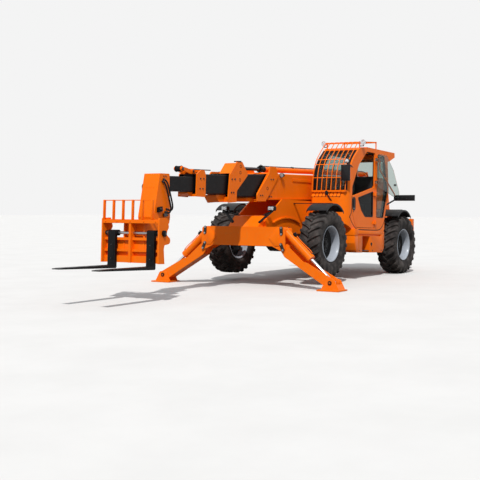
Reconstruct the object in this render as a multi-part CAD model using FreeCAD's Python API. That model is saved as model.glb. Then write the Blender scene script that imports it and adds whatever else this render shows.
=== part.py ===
import FreeCAD, Part
import math
import os

os.makedirs("parts", exist_ok=True)

# Telescopic handler with a cab on its left, forks on a four-section boom and two front stabiliser legs.
# It is modelled level, X forward, Y left, Z up, with Z = 0 under its tyres and X = 0 at the rear axle.
# park() then tips it nose up, as it stands on its rear tyres and its two feet.

# Running gear
WHEELBASE = 3250.0
TRACK = 1950.0
FRONT_LIFT = 129.0
PITCH = math.degrees(math.asin(FRONT_LIFT / WHEELBASE))
TYRE_RADIUS = 590.0
TYRE_HALF_WIDTH = 203.0
CARCASS_RADIUS = 546.0
SHOULDER_HALF_WIDTH = 186.0
RIM_RADIUS = 306.0
RIM_HALF_WIDTH = 165.0
RIM_WALL = 13.0
FLANGE_RADIUS = 322.0
DISC_INSET = 45.0
HUB_RADIUS = 128.0
HUB_REACH = 95.0
SPINDLE_RADIUS = 60.0
LUGS_PER_SIDE = 24
LUG_THICKNESS = 42.0
LUG_SLANT = 36.0
LUG_OVERLAP = 10.0
KINGPIN_INSET = 145.0
KINGPIN_RADIUS = 25.0
AXLE_TUBE_RADIUS = 78.0
AXLE_BOSS_RADIUS = 52.0
AXLE_BOSS_HALF = 100.0
YOKE_ARM = 46.0

# Clearances: of a seated piece, of a pin in its hole, of a leg between its end plates
FIT = 0.3
PIN_FIT = 0.3
LEG_PLAY = 6.0
GLAND_STEP = 6.0

# Main frame
FRAME_INNER = 305.0
FRAME_PLATE = 25.0
FRAME_REAR = -1060.0
FRAME_BELLY = 520.0
FRAME_TOP = 1400.0
ARCH_TOP = 762.0
ARCH_HALF = 400.0
TOWER_TOP = 1985.0

# Stabilisers, as (y, z) on the left side
BEAM_FRONT = 4410.0
BEAM_BOTTOM = 532.0
BEAM_TOP = 862.0
BEAM_HALF_LOW = 668.0
BEAM_HALF_TOP = 590.0
END_PLATE = 22.0
LEG_HALF_DEPTH = 100.0
LEG_PLATE = 20.0
BEAM_CENTRE = BEAM_FRONT - END_PLATE - LEG_HALF_DEPTH - LEG_PLAY
BEAM_REAR = 2 * BEAM_CENTRE - BEAM_FRONT
LEG_PIN = (815.0, 520.0)
CYLINDER_PIN = (785.0, 800.0)
FOOT_PIN = (1717.0, -42.0)
LEG_PIN_RADIUS = 30.0
CYLINDER_PIN_RADIUS = 25.0
LEG_BARREL_RADIUS = 68.0
LEG_BARREL_LENGTH = 700.0
LEG_ROD_RADIUS = 29.0
LEG_ROD_LENGTH = 675.0
LEG_EYE_RADIUS = 42.0
FOOT_PLATE = 16.0
FOOT_LENGTH = 330.0
FOOT_WIDTH = 400.0
FOOT_LEAD = 40.0
FOOT_SOLE = 22.0

# Boom: pivot, droop and the section each tube has at rest
BOOM_PIVOT = (-750.0, 1820.0)
BOOM_DROOP = 2.7
BOOM_PIN_RADIUS = 45.0
BOOM_TUBES = {
    # name: (rear end, front end, half width, underside, top, wall)
    "outer": (-150.0, 5090.0, 230.0, -252.0, 215.0, 10.0),
    "second": (900.0, 5892.0, 195.0, -205.0, 190.0, 8.0),
    "third": (1600.0, 6805.0, 161.0, -158.0, 163.0, 8.0),
    "fourth": (2300.0, 7480.0, 131.0, -118.0, 118.0, 8.0),
}
COLLAR_PLATE = 22.0
MOUTH_CUT = ((4700, 240, 0), (5200, 240, 0), (5200, -160, 0), (5096, -160, 0))
PAD_PLAY = 0.5
PAD_SETBACK = {"outer": 410.0, "second": 20.0, "third": 20.0}
SHOES = {
    # tube: shoe that carries the next tube: rear end, front end, half width, underside, top
    "outer": (5030.0, 5310.0, 142.0, -285.0, -215.0),
    "second": (5897.0, 6180.0, 120.0, -290.0, -168.0),
    "third": (6772.0, 6930.0, 96.0, -195.0, -126.0),
}
LOW_COLLAR_TOP = 226.0
COLLARS = {
    # tube: corners (along, up, radius) of the collar's side plates
    "outer": ((4486, 339, 20), (4673, 334, 20), (4712, 199, 40), (5108, -166, 40), (5100, -280, 10),
              (4830, -280, 10), (4373, 167, 60)),
    "second": ((5527, 390, 25), (5682, 388, 25), (5899, 171, 30), (5961, -240, 30), (5945, -300, 10),
               (5708, -290, 10), (5701, -103, 60), (5340, 177, 40)),
    "third": ((6590, 226, 20), (6680, 226, 20), (6790, 165, 20), (6818, -195, 10), (6567, -207, 10),
              (6552, 150, 20)),
}

# Telescoping cylinder on top of the boom
EXTEND_AXIS = 291.0
EXTEND_BARREL_RADIUS = 50.0
EXTEND_ROD_RADIUS = 30.0
EXTEND_BARREL_REAR = 300.0
EXTEND_ROD_REAR = 1000.0
EXTEND_SEAT = 5545.0

# Lift cylinder, as (x, z) on the machine and (along, up) on the boom
LIFT_BASE = (-350.0, 700.0)
LIFT_EYE = (1900.0, -345.0)
LIFT_BARREL_RADIUS = 80.0
LIFT_ROD_RADIUS = 45.0
LIFT_BARREL_LENGTH = 1330.0
LIFT_PIN_RADIUS = 32.0
LIFT_ROD_LENGTH = 1490.0

# Head, tilt cylinder and carriage, as (along, up) on the boom
HEAD_HALF = 150.0
HEAD_PLATE = 16.0
TILT_PIVOT = (7720.0, -660.0)
TILT_PIN_RADIUS = 30.0
TILT_TOP = (7600.0, -20.0)
TILT_EYE = (7536.0, -850.0)
TILT_BARREL_RADIUS = 52.0
TILT_ROD_RADIUS = 26.0
TILT_BARREL_LENGTH = 500.0
TILT_ROD_LENGTH = 480.0

# Carriage and forks, as (x, z) on the machine
CARRIAGE_REAR = 7262.0
CARRIAGE_FRONT = 7442.0
CARRIAGE_HALF = 545.0
CARRIAGE_BOTTOM = 267.0
CARRIAGE_TOP = 921.0
CARRIAGE_PLATE = 25.0
BEAM_FACE = 7386.0
BACKREST_TOP = 1190.0
BACKREST_BARS = 6
BACKREST_SPAN = (-516.0, 394.0)
BACKREST_BAR = 12.0
BACKREST_DEPTH = 30.0
SHAFT_CENTRE = (7352.0, 706.0)
SHAFT_RADIUS = 22.0
FORK_CENTRES = (-350.0, 380.0)
FORK_WIDTH = 140.0
FORK_THICKNESS = 48.0
FORK_LENGTH = 1150.0
FORK_BOTTOM = 180.0
FORK_TIP = 12.0

# Cab
CAB_INNER = 345.0
CAB_OUTER = 1090.0
CAB_WALL = 45.0
CAB_FLOOR = 850.0
CAB_ROOF = 2440.0
ROOF_PANEL = 12.0
GLASS = 8.0
DOOR_GAP = 8.0
DOOR_THICKNESS = 40.0
DOOR_HINGE = (1362.0, 1112.0)
HINGE_RADIUS = 10.0
DOOR_HINGE_HEIGHTS = (1010.0, 1560.0)
PANE_HINGE_HEIGHTS = (1800.0, 2240.0)
PANE_OPEN = 178.0
CAB_SIDE = (
    (880, CAB_FLOOR, 60), (2330, CAB_FLOOR, 150), (2600, 1000, 120), (2600, 1450, 60), (2525, 1560, 0),
    (2480, 2060, 700), (2060, 2420, 250), (1700, CAB_ROOF, 0), (800, CAB_ROOF, 40), (700, 1640, 80),
    (880, 1090, 60))
CAB_INSIDE = (
    (925, 895, 40), (2310, 895, 110), (2552, 1030, 70), (2552, 1430, 40), (2478, 1550, 0),
    (2434, 2045, 650), (2040, 2374, 220), (1690, 2394, 0), (838, 2394, 20), (748, 1640, 60),
    (925, 1100, 40))
DOOR_OPENING = (
    (1370, 900, 30), (2190, 900, 130), (2350, 1180, 250), (2350, 1660, 120), (2075, 2090, 150),
    (1730, 2368, 60), (1370, 2368, 30))
DOOR_RAIL_REAR = 1697.0
DOOR_RAIL_FRONT = 1478.0
DOOR_WINDOW = ((1425, 1113, 40), (1790, 1109, 90), (1960, 1235, 90), (2112, 1467, 30), (1425, 1622, 30))
QUARTER_WINDOW = ((948, 1112, 40), (1275, 1112, 40), (1250, 2350, 40), (944, 2350, 40), (765, 1634, 80))
RIGHT_WINDOW = ((1000, 1420, 50), (2250, 1420, 50), (2250, 1960, 120), (1900, 2320, 120), (1000, 2320, 50))
REAR_WINDOW = ((430, 1250, 40), (1000, 1250, 40), (1000, 2300, 40), (430, 2300, 40))
WINDSCREEN = ((405, 1610, 40), (1015, 1610, 60), (1000, 2320, 60), (405, 2320, 40))
SKYLIGHT = ((1150, 430, 40), (1690, 430, 40), (1690, 1005, 40), (1150, 1005, 40))

# Steering wheel: hub's centre, way of its column, ring and grip
STEERING_HUB = (1950.0, 720.0, 1581.0)
STEERING_WAY = (-135.0, 0.0, 190.0)
STEERING_RADIUS = 175.0
STEERING_GRIP = 15.0
COLUMN_RADIUS = 26.0

# Guard over the windscreen and the skylight
GUARD_BARS = 8
GUARD_SPAN = (372.0, 1062.0)
GUARD_BAR = 12.0
GUARD_RUNGS = (1815.0, 2068.0, 2166.0)
GUARD_OUTER = ((2600, 1572, 0), (2538, 2092, 720), (2078, 2532, 160), (1250, 2602, 0))
GUARD_INSIDE = ((1250, 2591, 0), (2074, 2521, 148), (2529, 2088, 708), (2590, 1572, 0))

# Fenders
FENDER_HALF = 330.0
FENDER_RADIUS = 480.0
FENDER_WALL = 8.0
FENDER_LIP = 30.0
FENDER_PLACES = (
    # middle, top
    (60.0, 1305.0), (WHEELBASE - 60.0, 1310.0))

# Lamps: the bar lamps behind, the round ones on the guard, the square ones over the nose, one on the boom
REAR_LAMP = 315.0
REAR_LAMP_SPAN = (1050.0, 1490.0)
REAR_LAMP_HEIGHTS = (1482.0, 1600.0)
REAR_LAMP_ARM = 16.0
REAR_LAMP_FLANGE = 12.0
WORK_LAMP_RADIUS = 52.0
ROUND_LAMP_DEPTH = 62.0
WORK_LAMP_CENTRES = ((2035.0, 310.0, 2515.0), (2035.0, 1144.0, 2517.0))
NOSE_LAMP_HALF = (66.0, 38.0)
NOSE_LAMP_PLACES = (-500.0, 470.0)
BOOM_LAMP = (4310.0, 278.0, 187.0)
BOOM_LAMP_RADIUS = 42.0

# Side boxes
SKIRT = (880.0, 2470.0, 430.0, CAB_FLOOR - FIT)
SKIRT_OUTER = 1000.0
ENGINE_BOX = (760.0, 2470.0, 560.0, 1340.0)
ENGINE_OUTER = 1060.0
BOX_WALL = 30.0
LOUVRES = 7
ENGINE_BLOCK = (1150.0, 2050.0, -940.0, -470.0)
ENGINE_HEIGHT = 560.0
EXHAUST_PLACE = (900.0, -480.0)
EXHAUST_RADIUS = 48.0
EXHAUST_WALL = 10.0
EXHAUST_HEIGHT = 330.0


def point(x, y, z):
    return FreeCAD.Vector(x, y, z)


X_AXIS = point(1, 0, 0)
Y_AXIS = point(0, 1, 0)
Z_AXIS = point(0, 0, 1)
ORIGIN = point(0, 0, 0)


def outline(corners):
    """Closed flat wire through corners (a, b, radius), each rounded by its radius."""
    stops = []
    count = len(corners)
    for index, (a, b, radius) in enumerate(corners):
        here = point(a, b, 0)
        if not radius:
            stops.append((here, None, here))
            continue
        before = (point(*corners[index - 1][:2], 0) - here).normalize()
        after = (point(*corners[(index + 1) % count][:2], 0) - here).normalize()
        half = before.getAngle(after) / 2
        run = radius / math.tan(half)
        middle = here + (before + after).normalize() * (radius / math.sin(half) - radius)
        stops.append((here + before * run, middle, here + after * run))
    edges = []
    for index, (start, middle, end) in enumerate(stops):
        previous = stops[index - 1][2]
        if (start - previous).Length > 0.01:
            edges.append(Part.LineSegment(previous, start).toShape())
        if middle is not None:
            edges.append(Part.Arc(start, middle, end).toShape())
    return Part.Wire(edges)


TURNS = {
    # plane: rotation that lays a drawing's a, b on that plane, and the way it is extruded
    "xy": (FreeCAD.Rotation(), Z_AXIS),
    "xz": (FreeCAD.Rotation(X_AXIS, 90), Y_AXIS),
    "yz": (FreeCAD.Rotation(point(1, 1, 1), 120), X_AXIS),
}


def slab(corners, plane, low, high):
    """Flat plate with rounded corners, from low to high across its plane."""
    turn, along = TURNS[plane]
    face = Part.Face(outline(corners))
    face.Placement = FreeCAD.Placement(along * low, turn)
    return face.extrude(along * (high - low))


def block(x_low, x_high, y_low, y_high, z_low, z_high):
    return Part.makeBox(x_high - x_low, y_high - y_low, z_high - z_low, point(x_low, y_low, z_low))


def rod(start, end, radius):
    return Part.makeCylinder(radius, (end - start).Length, start, end - start)


def across(x, z, half, radius):
    """Cylinder along Y, centred on the machine's middle plane."""
    return rod(point(x, -half, z), point(x, half, z), radius)


def fuse(*shapes):
    return shapes[0].multiFuse(list(shapes[1:])).removeSplitter()


def mirror(shape):
    return shape.mirror(ORIGIN, Y_AXIS)


def both(shape):
    return fuse(shape, mirror(shape))


def on_boom(shape):
    """Turns a shape drawn with X along the boom and Z up from its pivot into the machine's frame."""
    placed = shape.copy()
    placed.rotate(ORIGIN, Y_AXIS, BOOM_DROOP)
    placed.translate(point(BOOM_PIVOT[0], 0, BOOM_PIVOT[1]))
    return placed


def boom_point(along, up):
    droop = math.radians(BOOM_DROOP)
    return point(BOOM_PIVOT[0] + along * math.cos(droop) + up * math.sin(droop), 0,
                 BOOM_PIVOT[1] - along * math.sin(droop) + up * math.cos(droop))


def laid(shape, base, tip, axis):
    """Lays a shape drawn from the origin along X, with its pin along Y, from base towards tip."""
    way = (tip - base).normalize()
    placed = shape.copy()
    placed.Placement = FreeCAD.Placement(base, FreeCAD.Rotation(way, axis, way.cross(axis), "XYZ"))
    return placed


def cylinder_barrel(base, tip, length, radius, eye_radius, eye_half, pin_radius, bore, axis):
    """Closed tube with an eye at base and a gland ring at its mouth; its rod slides in a bore."""
    tube = rod(point(eye_radius * 0.8, 0, 0), point(length, 0, 0), radius)
    gland = rod(point(length - 60, 0, 0), point(length, 0, 0), radius + GLAND_STEP)
    tube = tube.fuse(gland).cut(rod(point(eye_radius + 60, 0, 0), point(length + 1, 0, 0), bore + PIN_FIT))
    body = fuse(tube, across(0, 0, eye_half, eye_radius)).cut(across(0, 0, eye_half + 1, pin_radius + PIN_FIT))
    return laid(body, base, tip, axis)


def cylinder_rod(base, tip, radius, inside, eye_radius, eye_half, axis):
    """Rod with a plain eye at tip, reaching back into its barrel by its length inside."""
    reach = (tip - base).Length
    eye = across(reach, 0, eye_half, eye_radius)
    shaft = rod(point(reach - inside, 0, 0), point(reach - eye_radius * 0.7, 0, 0), radius)
    return laid(fuse(shaft, eye), base, tip, axis)


def tyre():
    """Ring of flat facets, two for each lug pair, with chevron lugs that wrap its shoulders."""
    facets = 2 * LUGS_PER_SIDE
    section = (
        # radius, half width: bead, widest wall, shoulder
        (RIM_RADIUS, 132.0), (440.0, TYRE_HALF_WIDTH), (CARCASS_RADIUS, SHOULDER_HALF_WIDTH))
    loop = [(r, -w) for r, w in section] + [(r, w) for r, w in reversed(section)]
    faces = []
    for index in range(facets):
        ends = [2 * math.pi * (index + step) / facets for step in (0, 1)]
        for (r1, w1), (r2, w2) in zip(loop, loop[1:] + loop[:1]):
            corners = [point(r * math.sin(a), w, r * math.cos(a))
                       for r, w, a in ((r1, w1, ends[0]), (r2, w2, ends[0]), (r2, w2, ends[1]), (r1, w1, ends[1]))]
            faces.append(Part.Face(Part.makePolygon(corners + corners[:1])))
    ring = Part.Solid(Part.Shell(faces))
    if ring.Volume < 0:
        ring.reverse()
    lugs = []
    lug = tyre_lug()
    for index in range(LUGS_PER_SIDE):
        pitch = 360.0 / LUGS_PER_SIDE
        for side, turn in ((lug, index * pitch), (mirror(lug), (index + 0.5) * pitch)):
            copy = side.copy()
            copy.rotate(ORIGIN, Y_AXIS, turn)
            lugs.append(copy)
    return ring.multiFuse(lugs)


def tyre_lug():
    """Slanted bar from the tread's middle over the left shoulder, highest at the tyre's radius."""
    slope = math.tan(math.radians(LUG_SLANT))
    across_middle = SHOULDER_HALF_WIDTH / 2
    reach = (across_middle + LUG_OVERLAP) * slope + LUG_THICKNESS / 2
    top = math.sqrt(TYRE_RADIUS ** 2 - reach ** 2)
    profile = (
        # across the tread, up from the wheel's centre
        (-LUG_OVERLAP, CARCASS_RADIUS - 14), (-LUG_OVERLAP, top), (SHOULDER_HALF_WIDTH - 22, top),
        (TYRE_HALF_WIDTH - 3, top - 42), (TYRE_HALF_WIDTH - 5, 492.0), (SHOULDER_HALF_WIDTH - 16, 480.0))
    corners = [point((across_middle - y) * slope - LUG_THICKNESS / 2, y, z) for y, z in profile]
    face = Part.Face(Part.makePolygon(corners + corners[:1]))
    return face.extrude(X_AXIS * LUG_THICKNESS)


def turned(profile):
    """Solid of revolution about Y from corners (y, radius)."""
    corners = [point(0, y, r) for y, r in profile]
    return Part.Face(Part.makePolygon(corners + corners[:1])).revolve(ORIGIN, Y_AXIS, 360)


def rim():
    """Wheel of a left side: deep barrel, disc set inboard and planetary hub cover."""
    wide = RIM_HALF_WIDTH
    seat = RIM_RADIUS * math.cos(math.pi / (2 * LUGS_PER_SIDE)) - FIT
    inner = seat - RIM_WALL
    disc_out = -DISC_INSET
    disc_in = disc_out - 20
    barrel = turned((
        (wide, FLANGE_RADIUS), (wide - 14, FLANGE_RADIUS), (wide - 16, seat), (-wide + 16, seat),
        (-wide + 14, FLANGE_RADIUS), (-wide, FLANGE_RADIUS), (-wide, inner), (disc_in - 25, inner),
        (disc_in, inner - 22), (disc_in, SPINDLE_RADIUS + PIN_FIT), (disc_out + 78, SPINDLE_RADIUS + PIN_FIT),
        (disc_out + 78, 0), (disc_out + HUB_REACH, 0), (disc_out + HUB_REACH, HUB_RADIUS - 30),
        (disc_out + HUB_REACH - 25, HUB_RADIUS), (disc_out, HUB_RADIUS), (disc_out, inner - 24),
        (disc_out + 28, inner), (wide, inner)))
    return barrel


def knuckle():
    """Left knuckle about its kingpin at the origin: yoke round the axle boss, and spindle for the wheel."""
    plate_in = AXLE_BOSS_RADIUS + 12
    disc_in = KINGPIN_INSET - DISC_INSET - 20
    arm_low = AXLE_BOSS_HALF + 4
    arm_high = arm_low + YOKE_ARM
    plate = rod(point(0, plate_in, 0), point(0, disc_in - 2, 0), 140)
    spindle = rod(point(0, plate_in, 0), point(0, disc_in + 90, 0), SPINDLE_RADIUS)
    shapes = [plate, spindle]
    for side in (1, -1):
        low, high = sorted((side * arm_low, side * arm_high))
        shapes.append(slab(((-50, -50, 40), (50, -50, 40), (50, plate_in + 4, 0), (-50, plate_in + 4, 0)),
                           "xy", low, high))
        shapes.append(rod(point(0, 0, side * 40), point(0, 0, side * arm_high), KINGPIN_RADIUS))
    return fuse(*shapes)


def axle():
    """Axle across the machine, centred at the origin, with a boss for each kingpin and pads for the frame."""
    boss_y = TRACK / 2 - KINGPIN_INSET
    shapes = [rod(point(0, -boss_y + 70, 0), point(0, boss_y - 70, 0), AXLE_TUBE_RADIUS)]
    shapes.append(turned(((-190, 0), (-190, 90), (-110, 160), (110, 160), (190, 90), (190, 0))))
    for side in (1, -1):
        neck = block(-40, 40, *sorted((side * (boss_y - 80), side * boss_y)), -45, 45)
        boss = rod(point(0, side * boss_y, -AXLE_BOSS_HALF), point(0, side * boss_y, AXLE_BOSS_HALF),
                   AXLE_BOSS_RADIUS)
        pad = block(-85, 85, *sorted((side * 240, side * (FRAME_INNER + FRAME_PLATE))), 0, ARCH_TOP - TYRE_RADIUS)
        shapes += [neck, boss, pad]
    body = fuse(*shapes)
    for side in (1, -1):
        body = body.cut(rod(point(0, side * boss_y, -200), point(0, side * boss_y, 200),
                            KINGPIN_RADIUS + PIN_FIT))
    return body


def chassis():
    """Two tall side plates, belly and cross plates, boom tower at the rear, sloped nose at the front."""
    outer = FRAME_INNER + FRAME_PLATE
    front = WHEELBASE
    belly = (
        # underside line from the rear to the nose
        (FRAME_REAR, 650), (-480, 650), (-ARCH_HALF, ARCH_TOP), (ARCH_HALF, ARCH_TOP),
        (480, FRAME_BELLY), (front - 490, FRAME_BELLY), (front - ARCH_HALF, ARCH_TOP),
        (front + ARCH_HALF, ARCH_TOP), (front + 480, 560), (BEAM_REAR - FIT, 560))
    top = (
        (BEAM_REAR - FIT, BEAM_TOP + FIT, 0), (4190, BEAM_TOP + FIT, 0), (4190, 975, 30), (3624, 1369, 60),
        (500, FRAME_TOP, 200), (-180, 1480, 300), (-560, TOWER_TOP, 150), (-950, TOWER_TOP, 150),
        (-1110, 1290, 60), (FRAME_REAR, 1180, 60))
    side = slab(tuple((x, z, 0) for x, z in belly) + top, "xz", FRAME_INNER, outer)
    for centre in (0, front):
        reach = 1320
        arch = rod(point(centre + 200, outer - 2, -270), point(centre + 200, outer + 30, -270), reach)
        arch = arch.cut(rod(point(centre + 200, outer - 3, -270), point(centre + 200, outer + 31, -270),
                            reach - 22))
        window = block(centre - 260, centre + 690, outer - 5, outer + 40, 850, 1100)
        side = side.fuse(arch.common(window))
    boss = rod(point(BOOM_PIVOT[0], FRAME_INNER - 40, BOOM_PIVOT[1]),
               point(BOOM_PIVOT[0], outer + 25, BOOM_PIVOT[1]), 105)
    sides = both(side.fuse(boss))
    floors = []
    for stretch in (belly[:2], belly[3:]):
        strip = [(x, z, 0) for x, z in stretch] + [(x, z + 16, 0) for x, z in reversed(stretch)]
        floors.append(slab(tuple(strip), "xz", -FRAME_INNER, FRAME_INNER))
    rear = block(FRAME_REAR, FRAME_REAR + 22, -FRAME_INNER, FRAME_INNER, 650, 1450)
    cross = [block(x, x + 20, -FRAME_INNER, FRAME_INNER, low, high)
             for x, low, high in ((500, FRAME_BELLY, 640), (2600, FRAME_BELLY, 1250), (3980, 560, 960))]
    nose = slab(((3980, BEAM_TOP + FIT, 0), (BEAM_FRONT - 20, BEAM_TOP + FIT, 0), (4200, 1052, 20),
                 (3980, 1070, 0)), "xz", -FRAME_INNER, FRAME_INNER)
    base_x, base_z = LIFT_BASE
    ear = slab(((base_x - 140, base_z - 60, 0), (base_x + 50, base_z - 60, 50), (base_x + 50, base_z + 60, 50),
                (base_x - 140, base_z + 80, 0)), "xz", 90, 115)
    ear_box = block(base_x - 150, base_x - 95, -FRAME_INNER, FRAME_INNER, 664, 790)
    lift_pin = across(base_x, base_z, 110, LIFT_PIN_RADIUS)
    body = fuse(sides, rear, nose, lift_pin, both(ear), ear_box, *floors, *cross)
    return body.cut(across(BOOM_PIVOT[0], BOOM_PIVOT[1], 400, BOOM_PIN_RADIUS + PIN_FIT))


def counterweight():
    """Cast block behind the frame, with a tow jaw for a vertical pin."""
    rear = FRAME_REAR - 230
    body = slab(((FRAME_REAR - FIT, -880, 0), (rear + 40, -880, 120), (rear, 0, 0), (rear + 40, 880, 120),
                 (FRAME_REAR - FIT, 880, 0)), "xy", 600, 1150)
    body = body.cut(block(rear + 20, rear + 120, -860, -560, 820, 1000))
    body = body.cut(block(rear + 20, rear + 120, 560, 860, 820, 1000))
    jaws = [slab(((rear - 90, -60, 45), (rear + 30, -60, 0), (rear + 30, 60, 0), (rear - 90, 60, 45)),
                 "xy", low, low + 25) for low in (640, 725)]
    hole = rod(point(rear - 45, 0, 600), point(rear - 45, 0, 800), 16)
    return fuse(body, *jaws).cut(hole)


def stabiliser_beam():
    """Box beam across the nose with a forked end for each leg and its cylinder."""
    box = slab(((-BEAM_HALF_LOW, BEAM_BOTTOM, 0), (BEAM_HALF_LOW, BEAM_BOTTOM, 0),
                (BEAM_HALF_TOP, BEAM_TOP, 0), (-BEAM_HALF_TOP, BEAM_TOP, 0)), "yz", BEAM_REAR, BEAM_FRONT)
    (pin_y, pin_z), (top_y, top_z) = LEG_PIN, CYLINDER_PIN
    ends = ((BEAM_HALF_LOW - 60, BEAM_BOTTOM, 0), (pin_y - 60, pin_z - 55, 30), (pin_y + 40, pin_z - 70, 40),
            (pin_y + 45, pin_z + 90, 60), (top_y + 62, top_z + 50, 40), (top_y - 60, top_z + 62, 30),
            (BEAM_HALF_TOP - 60, BEAM_TOP, 0))
    shapes = [box]
    for face in (BEAM_FRONT - END_PLATE, BEAM_REAR):
        plate = slab(ends, "yz", face, face + END_PLATE)
        shapes += [plate, mirror(plate)]
    for (y, z), radius in ((LEG_PIN, LEG_PIN_RADIUS), (CYLINDER_PIN, CYLINDER_PIN_RADIUS)):
        pin = rod(point(BEAM_REAR + 5, y, z), point(BEAM_FRONT - 5, y, z), radius)
        shapes += [pin, mirror(pin)]
    low, high = BEAM_REAR + END_PLATE, BEAM_FRONT - END_PLATE
    clearance = rod(point(low, top_y, top_z), point(high, top_y, top_z), LEG_BARREL_RADIUS + 16)
    leg_room = rod(point(low, pin_y, pin_z), point(high, pin_y, pin_z), 140)
    shapes[0] = box.cut(fuse(clearance, mirror(clearance), leg_room, mirror(leg_room)))
    return fuse(*shapes)


def leg_frame():
    """Unit vectors along the left leg and square to it, in (y, z)."""
    run = point(0, FOOT_PIN[0] - LEG_PIN[0], FOOT_PIN[1] - LEG_PIN[1])
    along = run.normalize()
    return along, point(0, -along.z, along.y), point(0, LEG_PIN[0], LEG_PIN[1])


def leg():
    """Open channel from its pin to the foot: two cheeks and a sole plate, with the cylinder lying in it."""
    along, square, start = leg_frame()
    length = math.hypot(FOOT_PIN[0] - LEG_PIN[0], FOOT_PIN[1] - LEG_PIN[1])
    cheek = (
        # along the leg, square to it, corner radius
        (-58, -58, 50), (110, -128, 60), (length - 60, -105, 50), (length + 62, -40, 50),
        (length + 60, 78, 50), (length - 110, 66, 90), (520, 30, 120), (440, 4, 80), (330, 22, 100), (60, 62, 60),
        (-58, 50, 50))
    flat = [slab(cheek, "yz", 0, LEG_PLATE)]
    turn = FreeCAD.Placement(ORIGIN, FreeCAD.Rotation(X_AXIS, math.degrees(math.atan2(along.z, along.y))))
    sole = slab(((100, -122, 0), (length - 70, -103, 0), (length - 70, -88, 0), (100, -107, 0)), "yz",
                LEG_PLATE, 2 * LEG_HALF_DEPTH - LEG_PLATE)
    hub = rod(ORIGIN, point(2 * LEG_HALF_DEPTH, 0, 0), 52)
    back = flat[0].copy()
    back.translate(point(2 * LEG_HALF_DEPTH - LEG_PLATE, 0, 0))
    body = fuse(flat[0], back, sole, hub)
    for s, radius in ((0, LEG_PIN_RADIUS), (length, CYLINDER_PIN_RADIUS)):
        body = body.cut(rod(point(-1, s, 0), point(2 * LEG_HALF_DEPTH + 1, s, 0), radius + PIN_FIT))
    body.Placement = turn
    body.translate(start + point(BEAM_CENTRE - LEG_HALF_DEPTH, 0, 0))
    return body


def foot():
    """Ground foot: flat plate under two gusset plates and an outer wall, hung on the foot pin."""
    y, z = FOOT_PIN
    centre = BEAM_CENTRE
    ground = ground_height(centre)
    shapes = []
    inner = LEG_HALF_DEPTH + 4
    for side in (1, -1):
        low, high = sorted((centre + side * inner, centre + side * (inner + FOOT_PLATE)))
        shapes.append(slab(((y - 170, ground + 8, 0), (y + 170, ground + 8, 0), (y + 72, z + 62, 60),
                            (y - 72, z + 62, 60)), "yz", low, high))
    pins = [rod(point(centre + side * 66, y, z), point(centre + side * (inner + 30), y, z), CYLINDER_PIN_RADIUS)
            for side in (1, -1)]
    wall = slab(((y + 168, ground + 8, 0), (y + 113, z - 20, 0), (y + 101, z - 20, 0), (y + 156, ground + 8, 0)),
                "yz", centre - inner - 1, centre + inner + 1)
    sole = block(FOOT_LEAD - FOOT_LENGTH / 2, FOOT_LEAD + FOOT_LENGTH / 2, y - FOOT_WIDTH / 2, y + FOOT_WIDTH / 2,
                 0, FOOT_SOLE)
    sole.rotate(ORIGIN, Y_AXIS, PITCH)
    sole.translate(point(centre, 0, ground))
    return fuse(sole, wall, *pins, *shapes)


def ground_height(x):
    """Height of the real ground below a point of the level machine."""
    pitch = math.radians(PITCH)
    return TYRE_RADIUS - TYRE_RADIUS / math.cos(pitch) - x * math.tan(pitch)


def boom_tube(name):
    rear, front, half, low, high, wall = BOOM_TUBES[name]
    radius = 22
    outside = slab(((-half, low, radius), (half, low, radius), (half, high, radius), (-half, high, radius)),
                   "yz", rear, front)
    inside = block(rear - 1, front + 1, -half + wall, half - wall, low + wall, high - wall)
    return outside.cut(inside)


def collar(name):
    """Side plates round the front end of one tube; the second's right one stops below the long cylinder's seat."""
    half = BOOM_TUBES[name][2]
    plate = slab(COLLARS[name], "xz", half, half + COLLAR_PLATE)
    low_side = mirror(plate)
    if name == "second":
        low_side = low_side.cut(block(5000, 6500, -half - COLLAR_PLATE - 1, -half + 1, LOW_COLLAR_TOP, 500))
    return fuse(plate, low_side)


def wear_pads(name, inner_name):
    """Pads at the mouth of a tube that fill the play round the next one."""
    front = BOOM_TUBES[name][1]
    half, low, high, wall = BOOM_TUBES[name][2:]
    next_half, next_low, next_high = BOOM_TUBES[inner_name][2:5]
    wide = next_half * 0.7
    top_front = front - PAD_SETBACK[name]
    pads = [
        block(top_front - 140, top_front, -wide, wide, next_high + PAD_PLAY, high - wall),
        block(front - 160, front - 20, -wide, wide, low + wall, next_low - PAD_PLAY)]
    side = block(top_front - 140, top_front, next_half + PAD_PLAY, half - wall, -90, 90)
    return pads + [side, mirror(side)]


def shoe(name):
    """Shoe below the next tube, on a cross piece between the collar's plates."""
    rear, front, half, low, high = SHOES[name]
    reach = BOOM_TUBES[name][2] + 2
    under = BOOM_TUBES[name][3]
    nose = slab(((rear, low, 0), (front - 90, low, 0), (front, high - 20, 0), (front, high, 0), (rear, high, 0)),
                "xz", -half, half)
    return nose.fuse(block(rear, rear + 46, -reach, reach, low, under + 2))


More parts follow.
